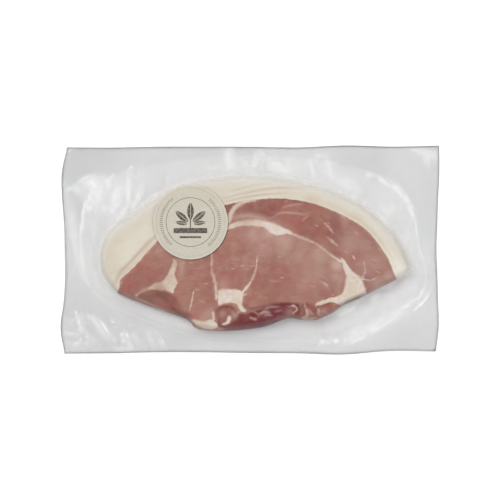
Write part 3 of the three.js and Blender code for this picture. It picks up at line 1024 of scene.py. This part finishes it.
# %% Muscles
# Each muscle: its outline, its shade from 0 (pale) to 1 (dark), the way its grain runs in degrees, and
# half its edge's blur
MUSCLES = (
    (((-16, 18), (0, 21.5), (14, 19.8), (26, 13.6), (38.6, 7.5), (48.7, 1.4), (59, -5.5), (73, -19),
      (80, -30), (110, -30), (95, 20), (40, 45), (-20, 40)), 0.46, -28, 1.2),
    (((-16, 21), (-11, 22.8), (-6, 29), (-4, 34), (-24, 34)), 0.62, 20, 0.8),
    (((-50, -4), (-52.5, -9.8), (-55.5, -16.8), (-59, -20.5), (-65.1, -23), (-72, -29), (-76, -40),
      (-110, -30), (-80, 10), (-52, 18)), 0.3, 35, 1),
    (((-75, -30), (-66, -27), (-60, -26.6), (-52, -28.6), (-47.6, -33.3), (-44, -39.5), (-39, -43.5),
      (-50, -60), (-90, -40)), 0.47, -30, 0.9),
    (((-61, -27), (-52, -28.6), (-47.6, -33.3), (-44, -39.5), (-39, -43.5), (-47, -46), (-54, -40),
      (-58, -34)), 0.67, -30, 2.2),
    (((-9, -43), (-2.5, -41.8), (4.6, -39.6), (11.5, -37.2), (18.4, -34.9), (27.7, -34.9), (32.7, -37.8),
      (30, -60), (-20, -62)), 0.97, 10, 1.2),
    (((36, -34.5), (44, -36.4), (54, -35.6), (54, -60), (30, -60), (32.6, -39)), 0.67, -40, 1),
    (((-22, -38.5), (-15.5, -36), (-9.6, -38.5), (-8.6, -43.5), (-12.6, -48.4), (-19.6, -48), (-22.6, -43)),
     0.64, 60, 0.8),
)
BASE_SHADE = 0.26
BASE_GRAIN = 8
# Soft places: middle, half width and strength. Pale ones lighten the lean, and red ones redden it.
PALE_PLACES = (
    (14, 13.5, 6, 0.75), (23, 6, 9, 0.4), (57, -10, 5, 0.65), (-17, -23, 5, 0.35),
    (3, 9.5, 7, 0.45), (9, 2.5, 7, 0.35), (45, -3, 9, 0.35), (66, 4, 10, 0.35), (83, -22, 7, 0.35),
    (-29, -43, 5, 0.3), (-18, -42, 2.5, 0.4), (8, 10, 6.5, 0.4), (32, -4, 8, 0.25),
    (56, -17, 4, 0.4), (75, 2, 7, 0.35), (91, -17, 4, 0.45), (-10, -43, 2.5, 0.45),
    (35, 3, 7, 0.3), (62, 20, 4, 0.3), (41, -14, 15, 0.22), (48, -40, 2.5, 0.35),
    (-60, 0, 5, 0.2), (79, -8, 12, 0.32), (10.2, -41.2, 2.6, 0.3), (26, -41, 4, 0.25),
)
RED_PLACES = (
    (-80, -23, 7, 0.6), (-72, -12, 9, 0.3), (-14, -20, 6, 0.45), (11.4, 24, 2.6, 1), (30, 15, 7, 0.5),
    (43, 9, 7, 0.5), (-14, 27, 4, 0.5), (45, -40, 5, 0.5), (-36, -43, 5, 0.1), (0, -34, 5, 0.35),
    (31, -41, 4, 0.4), (-58, -35, 6, 0.1),
)
# Tan places in the white tissue and, fainter, in the lean, in the same form
TAN_PLACES = (
    (-59.5, -25.5, 6, 0.85), (-48.5, -7, 6, 0.65), (-52.5, -19, 6, 0.35), (-68, -27, 5, 0.8),
    (39, -45.4, 5, 0.8), (-30, -49, 5, 0.25), (-24, -41, 4, 0.4), (48, -8.5, 8, 0.8), (-5, 22.4, 7, 0.7),
    (-31, -26, 5, 0.5), (28, 0, 8, 0.35), (-41, -22, 4, 0.4),
)
# Thin streaks in the lean: line, half width and strength
PALE_STREAKS = (
    (((16, 23), (22, 24.6), (30, 24), (37, 23.2)), 0.8, 0.5),
    (((61, -13), (59.5, -19), (57, -25)), 2.6, 0.35), (((-46, -3), (-44.5, -11), (-46, -19)), 2.2, 0.3),
    (((21, 27.5), (28, 29.6), (35, 30.2)), 0.7, 0.45),
    (((34, 19.2), (38, 22.4)), 0.7, 0.4), (((10, 20.8), (15, 21.4), (19, 24)), 0.8, 0.35),
    (((-12, 20.4), (-4, 22.4), (6, 21.2), (14, 18.6)), 1.8, 0.6),
    (((6.6, -42.4), (9, -40.6), (13, -41.2)), 0.9, 0.75),
    (((9.4, -43), (12, -42.4), (14.4, -43.2)), 0.7, 0.6),
    (((1.4, -40), (4.6, -41.6), (6, -44)), 0.6, 0.45),
    (((29, -3.6), (32, -6.2)), 0.7, 0.4), (((34, -9), (37.5, -10.2)), 0.6, 0.45),
    (((23, -8), (27, -7.4)), 0.6, 0.35), (((38, -23), (44, -24.6)), 0.6, 0.45),
    (((12, -20), (20, -20.8)), 0.6, 0.3), (((30, -22.6), (34, -23.4)), 0.5, 0.35),
    (((-34, -4), (-31, -7.6)), 0.6, 0.3), (((-40, -8), (-38, -8.6)), 0.6, 0.4),
    (((-72, -3), (-66, -1)), 0.7, 0.35), (((-33, -33), (-29, -35)), 0.6, 0.35),
    (((44, -15), (50, -19), (52, -22)), 0.6, 0.35), (((16, -40.4), (20.5, -39.6)), 0.7, 0.35),
    (((9, -39.6), (13, -37.2), (18.5, -37.4)), 0.9, 0.5),
    (((24.5, -37), (29.5, -37.4), (31, -39.4)), 0.8, 0.4),
    (((-75, -31.2), (-66, -35.3), (-57, -39.9), (-50, -43.2)), 0.6, 0.55),
    (((38, -38.5), (41, -42.4)), 0.8, 0.5), (((46, -37.6), (44.5, -41), (47, -43.4)), 0.8, 0.5),
)
# Membranes in the fat: line, half width and strength
MEMBRANES = (
    (((-88.6, -22), (-85, -14.8), (-80.5, -10), (-77, -6.5), (-70.6, 0.4), (-65, 6.2), (-56, 13)),
     1.3, 0.65),
    (((-86.5, -22), (-82, -15.4), (-77.5, -11), (-74, -7.5), (-67.5, -0.8), (-62, 5), (-54, 11)),
     1.4, 0.35),
    (((-16.4, 34.1), (0.1, 38), (16.6, 40.6), (36, 40.6)), 0.8, 0.5),
    (((-16.4, 31.6), (-4, 34.4), (8, 36.2), (24, 37.4)), 0.6, 0.55),
    (((-16.4, 37.5), (0, 42), (14, 44)), 0.7, 0.3),
    (((60, 26), (74, 17.5), (84, 8), (92, -4)), 0.7, 0.2),
)
# Dark red gaps between the small muscles, in the same form
DEEP_LINES = (
    (((-50.5, -38), (-47.5, -41), (-41.5, -42.9)), 0.8, 0.7),
    (((-71.5, -28.4), (-66, -27.2), (-60, -27.2), (-54, -29.2), (-49.5, -33)), 0.6, 0.5),
    (((-21.2, -40), (-18, -37.4), (-12.5, -37.2), (-9.4, -40.4)), 0.7, 0.55),
    # This one, along the lower cut edge, is a dark gap and painted shade as well
    (((-20.8, -46.6), (-20, -49), (-17.6, -50.4), (-13, -50.8)), 1.1, 0.8),
    (((-70, -30), (-63, -29.6), (-56, -30.5), (-51, -36)), 2.6, 0.42),
    (((-3, -49.4), (3, -48.4), (8, -47.2), (15, -45.4)), 1, 0.6),
    (((31.2, -36.2), (32.4, -39.2), (31.6, -43)), 0.8, 0.6),
    (((-3, -36), (1, -38.4), (8, -37.2), (14, -36), (22, -35), (30, -36)), 1, 0.5),
    (((10.2, 24.8), (11.8, 23.2), (13.6, 22.4)), 0.5, 0.35),
    (((15, 33.4), (24, 33), (34, 30.8)), 0.5, 0.4),
    (((46, 22.6), (49, 19.6), (53, 17.4)), 0.5, 0.35),
)
# Painted shadow, dark and olive, along the lower cut edge, in the same form
EDGE_SHADOW_LINES = (
    (((-73, -29.4), (-67, -31.6), (-61, -35)), 2.4, 0.4),
    (((-53, -41.5), (-47, -43.4), (-42.5, -44.2)), 1.2, 0.6),
    (((35, -46.4), (39, -47), (44, -46.4)), 0.9, 0.5),
    (((57, -37.8), (63, -34.9), (70, -31.8), (80, -28.4)), 1.4, 0.85),
)
LINE_LEAST = 0.04
LINE_TAPER = 0.4
GRAIN_SHIFT = 20


def soft_lines(x, y, lines):
    """Bells across the listed lines, fading towards both ends."""
    strongest = np.zeros(x.shape)
    for line, width, strength in lines:
        away, share = along_line(x, y, spline(line))
        fade = taper(share, LINE_LEAST, LINE_TAPER)
        strongest = np.maximum(strongest, strength * fade * np.exp(-(away / width) ** 2))
    return strongest


def muscle_fields(x, y):
    """Shade and grain. Each muscle's shade blends in over its edge's blur. Grain is the point turned so
    that its first value runs along the fibres, moved apart for each muscle so that no two match."""
    shade = np.full(x.shape, BASE_SHADE)
    angle = np.full(x.shape, math.radians(BASE_GRAIN))
    order = np.zeros(x.shape)
    for number, (outline, tone, grain, blur) in enumerate(MUSCLES, start=1):
        depth = depth_inside(x, y, spline(outline, closed=True))
        share = blend(depth, 2 * blur)
        shade = shade * (1 - share) + tone * share
        angle[depth > 0] = math.radians(grain)
        order[depth > 0] = number
    along = x * np.cos(angle) + y * np.sin(angle)
    across = y * np.cos(angle) - x * np.sin(angle)
    return shade, np.stack([along, across, order * GRAIN_SHIFT], 1)


# The painted sheen of the film on the fat's outer edge: how far in it reaches, between which places up the
# pack it grows, and the share of it left low down
SHEEN_REACH = 9
SHEEN_RISE = (-15, 20)
SHEEN_LEAST = 0.2
# Places where the painted sheen makes film and fat melt together at the tip, in the form of the pale
# places
SHEEN_PLACES = ((103, -14, 11, 0.8),)


def sheen_on_edge(depth, y):
    """Strength of the painted sheen on the fat: 1 at the outer edge and 0 where the film lies tight,
    and weaker low down.
    """
    near_top = smooth((y - SHEEN_RISE[0]) / (SHEEN_RISE[1] - SHEEN_RISE[0]))
    return (SHEEN_LEAST + (1 - SHEEN_LEAST) * near_top) * (1 - smooth(depth / SHEEN_REACH))


steak_lean = depth_inside(steak_x, steak_y, lean_outline)
steak_shade, steak_grain = muscle_fields(steak_x, steak_y)
pale_places = soft_places(steak_x, steak_y, PALE_PLACES)
steak_fields = {
    "lean": steak_lean,
    "white": steak_white,
    "shade": steak_shade,
    "grain": steak_grain,
    "pale": np.maximum(pale_places, soft_lines(steak_x, steak_y, PALE_STREAKS)),
    "red": soft_places(steak_x, steak_y, RED_PLACES),
    "membrane": soft_lines(steak_x, steak_y, MEMBRANES),
    "tan": soft_places(steak_x, steak_y, TAN_PLACES),
    # Painted shadow along the lower cut edge
    "painted_shadow": soft_lines(steak_x, steak_y, EDGE_SHADOW_LINES),
    "deep": soft_lines(steak_x, steak_y, DEEP_LINES),
    # The painted sheen of the film on the fat's outer edge
    "fade": np.maximum(sheen_on_edge(steak_depth, steak_y), soft_places(steak_x, steak_y, SHEEN_PLACES)),
}
print("steak fields:", ", ".join(steak_fields))

# %% Steak surface
GROOVE = 0.35
GROOVE_WIDTH = 1.6
INNER_REACH = 6
BUMP_DROP = 0.2
BACK_UNEVEN = 0.1
# Bumps: height, usual length and seed
FINE_BUMPS = (0.10, 7, 11)
WIDE_BUMPS = (0.12, 18, 12)
BACK_BUMPS = (1, 9, 13)


def rounded(depth, reach):
    """A quarter round: 0 at the outline and 1 from this depth inwards."""
    return np.sqrt(1 - (1 - np.clip(depth / reach, 0, 1)) ** 2)


def make_steak():
    """Top and back share the rim. Each is a quarter round from the middle height to its full height. The
    seams lie in shallow grooves, and the meat between them is a little uneven."""
    film_above = film_height(steak_x, steak_y, steak_depth)
    groove = GROOVE * np.exp(-(np.minimum(0, steak_white) / GROOVE_WIDTH) ** 2)
    ledge = GROOVE * steak_fields["membrane"]
    bumps = waves(steak_x, steak_y, *FINE_BUMPS) + waves(steak_x, steak_y, *WIDE_BUMPS)
    inner = smooth(steak_depth / INNER_REACH)
    top = film_above - FILM_GAP - (groove + ledge) * inner + (bumps - BUMP_DROP) * inner
    back_bumps = BACK_UNEVEN * (1 + waves(steak_x, steak_y, *BACK_BUMPS))
    top_z = STEAK_MIDDLE + (top - STEAK_MIDDLE) * rounded(steak_depth, TOP_ROUND)
    back_z = STEAK_MIDDLE - (STEAK_MIDDLE - STEAK_FLOOR - back_bumps) * rounded(steak_depth, BACK_ROUND)
    on_rim = np.zeros(len(steak_x), bool)
    on_rim[grid_border(STEAK_COLUMNS, STEAK_ROWS)] = True
    top_z[on_rim] = STEAK_MIDDLE
    number = np.arange(len(steak_x))
    back_number = np.where(on_rim, number, len(steak_x) + np.cumsum(~on_rim) - 1)
    faces = grid_faces(STEAK_COLUMNS, STEAK_ROWS)
    points = np.vstack([np.stack([steak_x, steak_y, top_z], 1),
                        np.stack([steak_x, steak_y, back_z], 1)[~on_rim]])
    all_faces = np.vstack([faces, back_number[faces][:, ::-1]])
    fields = {name: np.concatenate([values, values[~on_rim]]) for name, values in steak_fields.items()}
    return build_piece("steak", points, all_faces, fields)


steak = make_steak()

# %% [markdown]
# ## Raw pork
# The photo shows the meat through film, which veils it a little. The colours below are the ones seen, and
# one function takes the veil off them, so that they come back once the film lies over the meat. The lean
# gets its shade from the muscle, its fibres and a soft mottle. Fat and white tissue meet it at edges that
# wander, as cut tissue does.

# %% Pork material
FILM_VEIL = 0.055
FILM_PASS = 1.1
BARE_RANGE = (0.001, 0.95)


def bare(red, green, blue):
    """A colour as it is under the film: the seen light less the veil, over what passes. The lights are
    strong, so even through the film a white thing would come back a little brighter than white."""
    seen = np.array(paint(red, green, blue)[:3])
    return (*np.clip((seen - FILM_VEIL) / FILM_PASS, *BARE_RANGE).tolist(), 1.0)


LEAN_SHADES = (
    (0.0, bare(184, 148, 136)), (0.25, bare(171, 127, 117)), (0.5, bare(157, 111, 102)),
    (0.78, bare(136, 90, 85)), (1.0, bare(120, 67, 71)),
)
PALE_COLOUR = bare(216, 190, 178)
RED_COLOUR = bare(168, 91, 86)
BROWN_COLOUR = bare(168, 136, 118)
WHITE_COLOUR = bare(225, 216, 207)
WHITE_WARM = bare(219, 207, 184)
WHITE_EDGE = bare(212, 180, 165)
FAT_COLOUR = bare(213, 199, 180)
FAT_PALE = bare(222, 215, 200)
TAN_COLOUR = bare(180, 147, 126)
SHEEN_COLOUR = bare(236, 232, 223)
SHADOW_OLIVE = bare(112, 95, 76)
DEEP_COLOUR = bare(104, 52, 50)
# Mottles: scale, detail, and the lowest and highest value
FIBRES = (1, 5, 0, 1)
LEAN_BLOTCH = (60, 3, -0.13, 0.13)
LEAN_GRAIN = (230, 4, -0.08, 0.08)
BROWN_DRIFT = (85, 3, 0, 0.45)
RED_DRIFT = (75, 3, 0, 0.3)
FAT_BLOTCH = (35, 3, 0, 1)
WARM_DRIFT = (120, 2, 0, 0.8)
PINK_STRANDS = (420, 3, 0, 0.45)
WHITE_SOFTNESS = (65, 1, 0.25, 1.3)
PORES = (900, 2, 0, 0.4)
WETNESS = (160, 2, 0.38, 0.55)
# How far a second pattern is moved aside
BROWN_ASIDE, RED_ASIDE, STRANDS_ASIDE = 0.8, 0.4, 0.3
# Pale flecks in the lean: scale, size and share. They and the fibres are stretched along the grain.
FLECKS = (1, 0.25, 0.07)
FLECK_STRETCH = (0.16, 0.62, 1)
FIBRE_STRETCH = (0.14, 0.8, 1)
# Edges that wander: scale, reach, and for the lean its softness
LEAN_EDGE = (420, 0.6, 0.45)
WHITE_WANDER = (380, 1.1)
# Where white tissue turns pink at its edge, in millimetres inside it, and how pink it is there
PINK_EDGE = (-0.3, 1.2, 0.9, 0)
# How strongly each thing shows. Red fades out where the shade comes near the limit.
FIBRE_STRENGTH = 0.12
RED_STRENGTH = 0.6
RED_LIMIT = 1.25
FLECK_STRENGTH = 0.55
PALE_STRENGTH = 0.85
MEMBRANE_STRENGTH = 0.8
MEAT_BUMP = (0.5, 0.0002)


def ramp(tree, factor, stops):
    """A colour ramp with these positions and colours."""
    made = tree.node("ShaderNodeValToRGB", factor)
    elements = made.color_ramp.elements
    while len(elements) < len(stops):
        elements.new(0.5)
    for element, (position, colour) in zip(elements, stops):
        element.position = position
        element.color = colour
    return made.outputs[0]


def moved(tree, place, offset):
    """The same place moved aside, so that a second pattern doesn't repeat the first."""
    return tree.vector("ADD", place, (offset, -offset, offset))


def lean_colour(tree, place, grain, fibres):
    """Shade from the muscle, its fibres and two mottles, a brown and a red drift, tan places, then pale
    places, flecks that lie along the grain, and dark gaps."""
    shade = tree.plus(tree.attribute("shade"), mottle(tree, place, *LEAN_BLOTCH))
    shade = tree.plus(shade, mottle(tree, place, *LEAN_GRAIN))
    shade = tree.times_plus(tree.minus(fibres, NOISE_MIDDLE), FIBRE_STRENGTH, shade)
    colour = ramp(tree, shade, LEAN_SHADES)
    paleness = tree.minus(1, shade, clamp=True)
    browner = mottle(tree, moved(tree, place, BROWN_ASIDE), *BROWN_DRIFT)
    colour = tree.mix(tree.times(browner, paleness), colour, BROWN_COLOUR)
    redder = mottle(tree, moved(tree, place, RED_ASIDE), *RED_DRIFT)
    redder = tree.times_plus(tree.attribute("red"), RED_STRENGTH, redder)
    redder = tree.times(redder, tree.minus(RED_LIMIT, shade, clamp=True))
    colour = tree.mix(redder, colour, RED_COLOUR)
    colour = tree.mix(tree.times(tree.attribute("tan"), paleness), colour, BROWN_COLOUR)
    flecks = speckle(tree, tree.vector("MULTIPLY", grain, FLECK_STRETCH), *FLECKS)
    pale = tree.greatest(tree.attribute("pale"), tree.times(flecks, FLECK_STRENGTH))
    colour = tree.mix(tree.times(pale, PALE_STRENGTH), colour, PALE_COLOUR)
    return tree.mix(tree.attribute("deep"), colour, DEEP_COLOUR)


def fat_colour(tree, place):
    """Cream that turns paler in blotches, with tan membranes, and whitish along the outer edge as a
    painted sheen.
    """
    colour = tree.mix(mottle(tree, place, *FAT_BLOTCH), FAT_COLOUR, FAT_PALE)
    # The outer edge takes a painted sheen in the film's whitish colour
    colour = tree.mix(tree.attribute("fade"), colour, SHEEN_COLOUR)
    return tree.mix(tree.times(tree.attribute("membrane"), MEMBRANE_STRENGTH), colour, TAN_COLOUR)


def white_colour(tree, place):
    """White or warm white with pink strands, pink where it runs out into the lean, and tan in places."""
    colour = tree.mix(mottle(tree, place, *WARM_DRIFT), WHITE_COLOUR, WHITE_WARM)
    strands = mottle(tree, moved(tree, place, STRANDS_ASIDE), *PINK_STRANDS)
    edge = tree.step(tree.attribute("white"), *PINK_EDGE)
    colour = tree.mix(tree.greatest(strands, edge), colour, WHITE_EDGE)
    return tree.mix(tree.attribute("tan"), colour, TAN_COLOUR)


def pork_material():
    """The lean lies over the fat, the white tissue over both, and the painted shadow along the lower cut
    edge over all. Fibres stand out in the lean alone, and pores everywhere."""
    material, tree = new_material("raw_pork")
    place = tree.place()
    grain = tree.attribute("grain", "Vector")
    fibres = mottle(tree, tree.vector("MULTIPLY", grain, FIBRE_STRETCH), *FIBRES)
    in_lean = ragged_edge(tree, place, tree.attribute("lean"), *LEAN_EDGE)
    softness = mottle(tree, place, *WHITE_SOFTNESS)
    in_white = ragged_edge(tree, place, tree.attribute("white"), *WHITE_WANDER, softness)
    colour = tree.mix(in_lean, fat_colour(tree, place), lean_colour(tree, place, grain, fibres))
    colour = tree.mix(in_white, colour, white_colour(tree, place))
    # Painted shadow along the lower cut edge, in dark olive
    colour = tree.mix(tree.attribute("painted_shadow"), colour, SHADOW_OLIVE)
    lean_only = tree.times(in_lean, tree.minus(1, in_white))
    relief = tree.plus(tree.times(fibres, lean_only), mottle(tree, place, *PORES))
    finish_material(tree, {
        "Base Color": colour, "Roughness": mottle(tree, place, *WETNESS),
        "Normal": tree.bump(relief, *MEAT_BUMP),
    })
    return material


steak.data.materials.append(pork_material())
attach(steak, "root")
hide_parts("pouch")

# %% [markdown]
# ## The label
# A paper disc, glued on the film. It bends with the film under it. Its print is plain shapes: two rings, a
# border of ticks, a sprig and bars, in dark brown. The shader draws them from each point's place on the
# disc, so the ink has crisp edges at any distance, and a little wear.

# %% Label disc
LABEL_RINGS, LABEL_SECTORS = 60, 240
LABEL_LIFT = 0.2
LABEL_THICKNESS = 0.3


def make_label():
    """Rings of points on the film's height field, once for the back and once, a thickness higher, for the
    face. The middle is one point, and the outer rings are joined by a wall."""
    radius = np.linspace(0, LABEL_RADIUS, LABEL_RINGS + 1)[1:]
    angle = np.arange(LABEL_SECTORS) * 2 * math.pi / LABEL_SECTORS
    across = np.concatenate([[0], np.outer(radius, np.cos(angle)).ravel()])
    upward = np.concatenate([[0], np.outer(radius, np.sin(angle)).ravel()])
    x, y = across + LABEL_CENTRE[0], upward + LABEL_CENTRE[1]
    height = film_height(x, y, depth_inside(x, y, steak_outline)) + LABEL_LIFT
    back = np.stack([x, y, height], 1)
    face = back + (0, 0, LABEL_THICKNESS)
    sector = np.arange(LABEL_SECTORS)
    following = (sector + 1) % LABEL_SECTORS
    disc = [np.stack([np.zeros_like(sector), 1 + sector, 1 + following], 1)]
    for ring in range(LABEL_RINGS - 1):
        inner, outer = 1 + ring * LABEL_SECTORS, 1 + (ring + 1) * LABEL_SECTORS
        disc.append(np.stack([inner + sector, outer + sector, outer + following], 1))
        disc.append(np.stack([inner + sector, outer + following, inner + following], 1))
    disc = np.vstack(disc)
    count = len(back)
    low = 1 + (LABEL_RINGS - 1) * LABEL_SECTORS
    wall = [np.stack([low + sector, low + following, count + low + following], 1),
            np.stack([low + sector, count + low + following, count + low + sector], 1)]
    faces = np.vstack([disc[:, ::-1], disc + count, *wall])
    print_place = np.stack([across, upward, np.zeros(count)], 1)
    face_place = print_place + (0, 0, 1)
    return build_piece("paper_label", np.vstack([back, face]), faces,
                       {"print": np.vstack([print_place, face_place])})


label = make_label()

# %% Label print
PAPER = paint(188, 182, 168)
PAPER_SHADE = paint(174, 167, 153)
PAPER_RIM_PALE = paint(206, 200, 188)
INK = paint(52, 47, 40)
# Rings: radius, width and strength
RINGS = ((16, 0.4, 0.85), (22.5, 0.6, 0.12))
# Bars: middle, width and height
BARS = ((0, -5.6, 22, 3.4), (0, -9.9, 14, 1.3), (0, -0.8, 0.7, 6.6))
# Leaves: middle, direction in degrees, length and width
LEAVES = (
    (0, 7, 90, 12, 4.4), (-5.6, 3.6, 140, 11.5, 4), (5.6, 3.6, 40, 11.5, 4),
    (-6, -0.6, 172, 8.5, 2.8), (6, -0.6, 8, 8.5, 2.8),
)
LEAF_VEIN = 0.16
TICK_BAND = (18.2, 20.2)
TICK_COUNT = 90
TICK_SHARE = 0.36
TICK_SPAN = math.radians(52)
TICK_STRENGTH = 0.75
# How far inside the paper's edge it begins to turn paler, and how pale it gets
PALE_RIM_FROM, PALE_RIM_TO, PALE_RIM_MOST = 0.9, 0.1, 0.6
# Mottles: scale, detail, and the lowest and highest value
INK_WEAR = (900, 3, 0.72, 1)
PAPER_FIBRES = (500, 5, 0, 0.35)
# Specks in the paper: scale, size and share
PAPER_SPECKS = (700, 0.3, 0.04)
PAPER_ROUGHNESS = 0.6
PAPER_BUMP = (0.3, 0.0001)


def bar_mask(tree, x, y, middle_x, middle_y, width, height):
    """1 inside an upright rectangle."""
    across = tree.unsigned(tree.minus(x, middle_x))
    upward = tree.unsigned(tree.minus(y, middle_y))
    return tree.times(tree.is_under(across, width / 2), tree.is_under(upward, height / 2))


def leaf_mask(tree, x, y, middle_x, middle_y, degrees, length, width):
    """1 inside a pointed leaf: the overlap of two circles. Its radius and offset follow from the leaf's
    half length and half width. A thin vein is left open along its middle."""
    half_length, half_width = length / 2, width / 2
    radius = (half_length**2 + half_width**2) / (2 * half_width)
    cos, sin = math.cos(math.radians(degrees)), math.sin(math.radians(degrees))
    from_x = tree.minus(x, middle_x)
    from_y = tree.minus(y, middle_y)
    along = tree.times_plus(from_x, cos, tree.times(from_y, sin))
    across = tree.times_plus(from_y, cos, tree.times(from_x, -sin))
    aside = tree.unsigned(across)
    shifted = tree.plus(aside, radius - half_width)
    squares = tree.times_plus(shifted, shifted, tree.times(along, along))
    inside = tree.is_under(squares, radius**2)
    return tree.times(inside, tree.is_over(aside, LEAF_VEIN))


def tick_mask(tree, radius, angle):
    """Short strokes across a band, in two arcs to the left and the right."""
    turn = tree.math("FRACT", tree.times(angle, TICK_COUNT / (2 * math.pi)))
    stroke = tree.is_under(turn, TICK_SHARE)
    band = tree.times(tree.is_over(radius, TICK_BAND[0]), tree.is_under(radius, TICK_BAND[1]))
    aside = tree.unsigned(tree.math("COSINE", angle))
    arcs = tree.is_over(aside, math.cos(TICK_SPAN))
    return tree.times(tree.times(stroke, band), arcs)


def paper_material():
    """Ink lies where any mark does, on the face alone, and wear thins it. The paper is paler at its edge."""
    material, tree = new_material("printed_paper")
    place = tree.place()
    spot = tree.node("ShaderNodeSeparateXYZ", tree.attribute("print", "Vector"))
    x, y, on_face = spot.outputs[0], spot.outputs[1], spot.outputs[2]
    squares = tree.times_plus(x, x, tree.times(y, y))
    radius = tree.math("SQRT", squares)
    angle = tree.math("ARCTAN2", y, x)
    ink = tree.times(tick_mask(tree, radius, angle), TICK_STRENGTH)
    for middle, width, strength in RINGS:
        away = tree.unsigned(tree.minus(radius, middle))
        ring = tree.times(tree.is_under(away, width / 2), strength)
        ink = tree.greatest(ink, ring)
    for bar in BARS:
        ink = tree.greatest(ink, bar_mask(tree, x, y, *bar))
    for leaf in LEAVES:
        ink = tree.greatest(ink, leaf_mask(tree, x, y, *leaf))
    ink = tree.times(tree.times(ink, mottle(tree, place, *INK_WEAR)), tree.is_over(on_face, 0.5))
    fibres = mottle(tree, place, *PAPER_FIBRES)
    paper = tree.mix(fibres, PAPER, PAPER_SHADE)
    paper = tree.mix(speckle(tree, place, *PAPER_SPECKS), paper, PAPER_SHADE)
    pale_rim = tree.step(radius, LABEL_RADIUS - PALE_RIM_FROM, LABEL_RADIUS - PALE_RIM_TO, 0, PALE_RIM_MOST)
    paper = tree.mix(pale_rim, paper, PAPER_RIM_PALE)
    finish_material(tree, {
        "Base Color": tree.mix(ink, paper, INK), "Roughness": PAPER_ROUGHNESS,
        "Normal": tree.bump(fibres, *PAPER_BUMP),
    })
    return material


label.data.materials.append(paper_material())
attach(label, "root")
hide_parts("label")
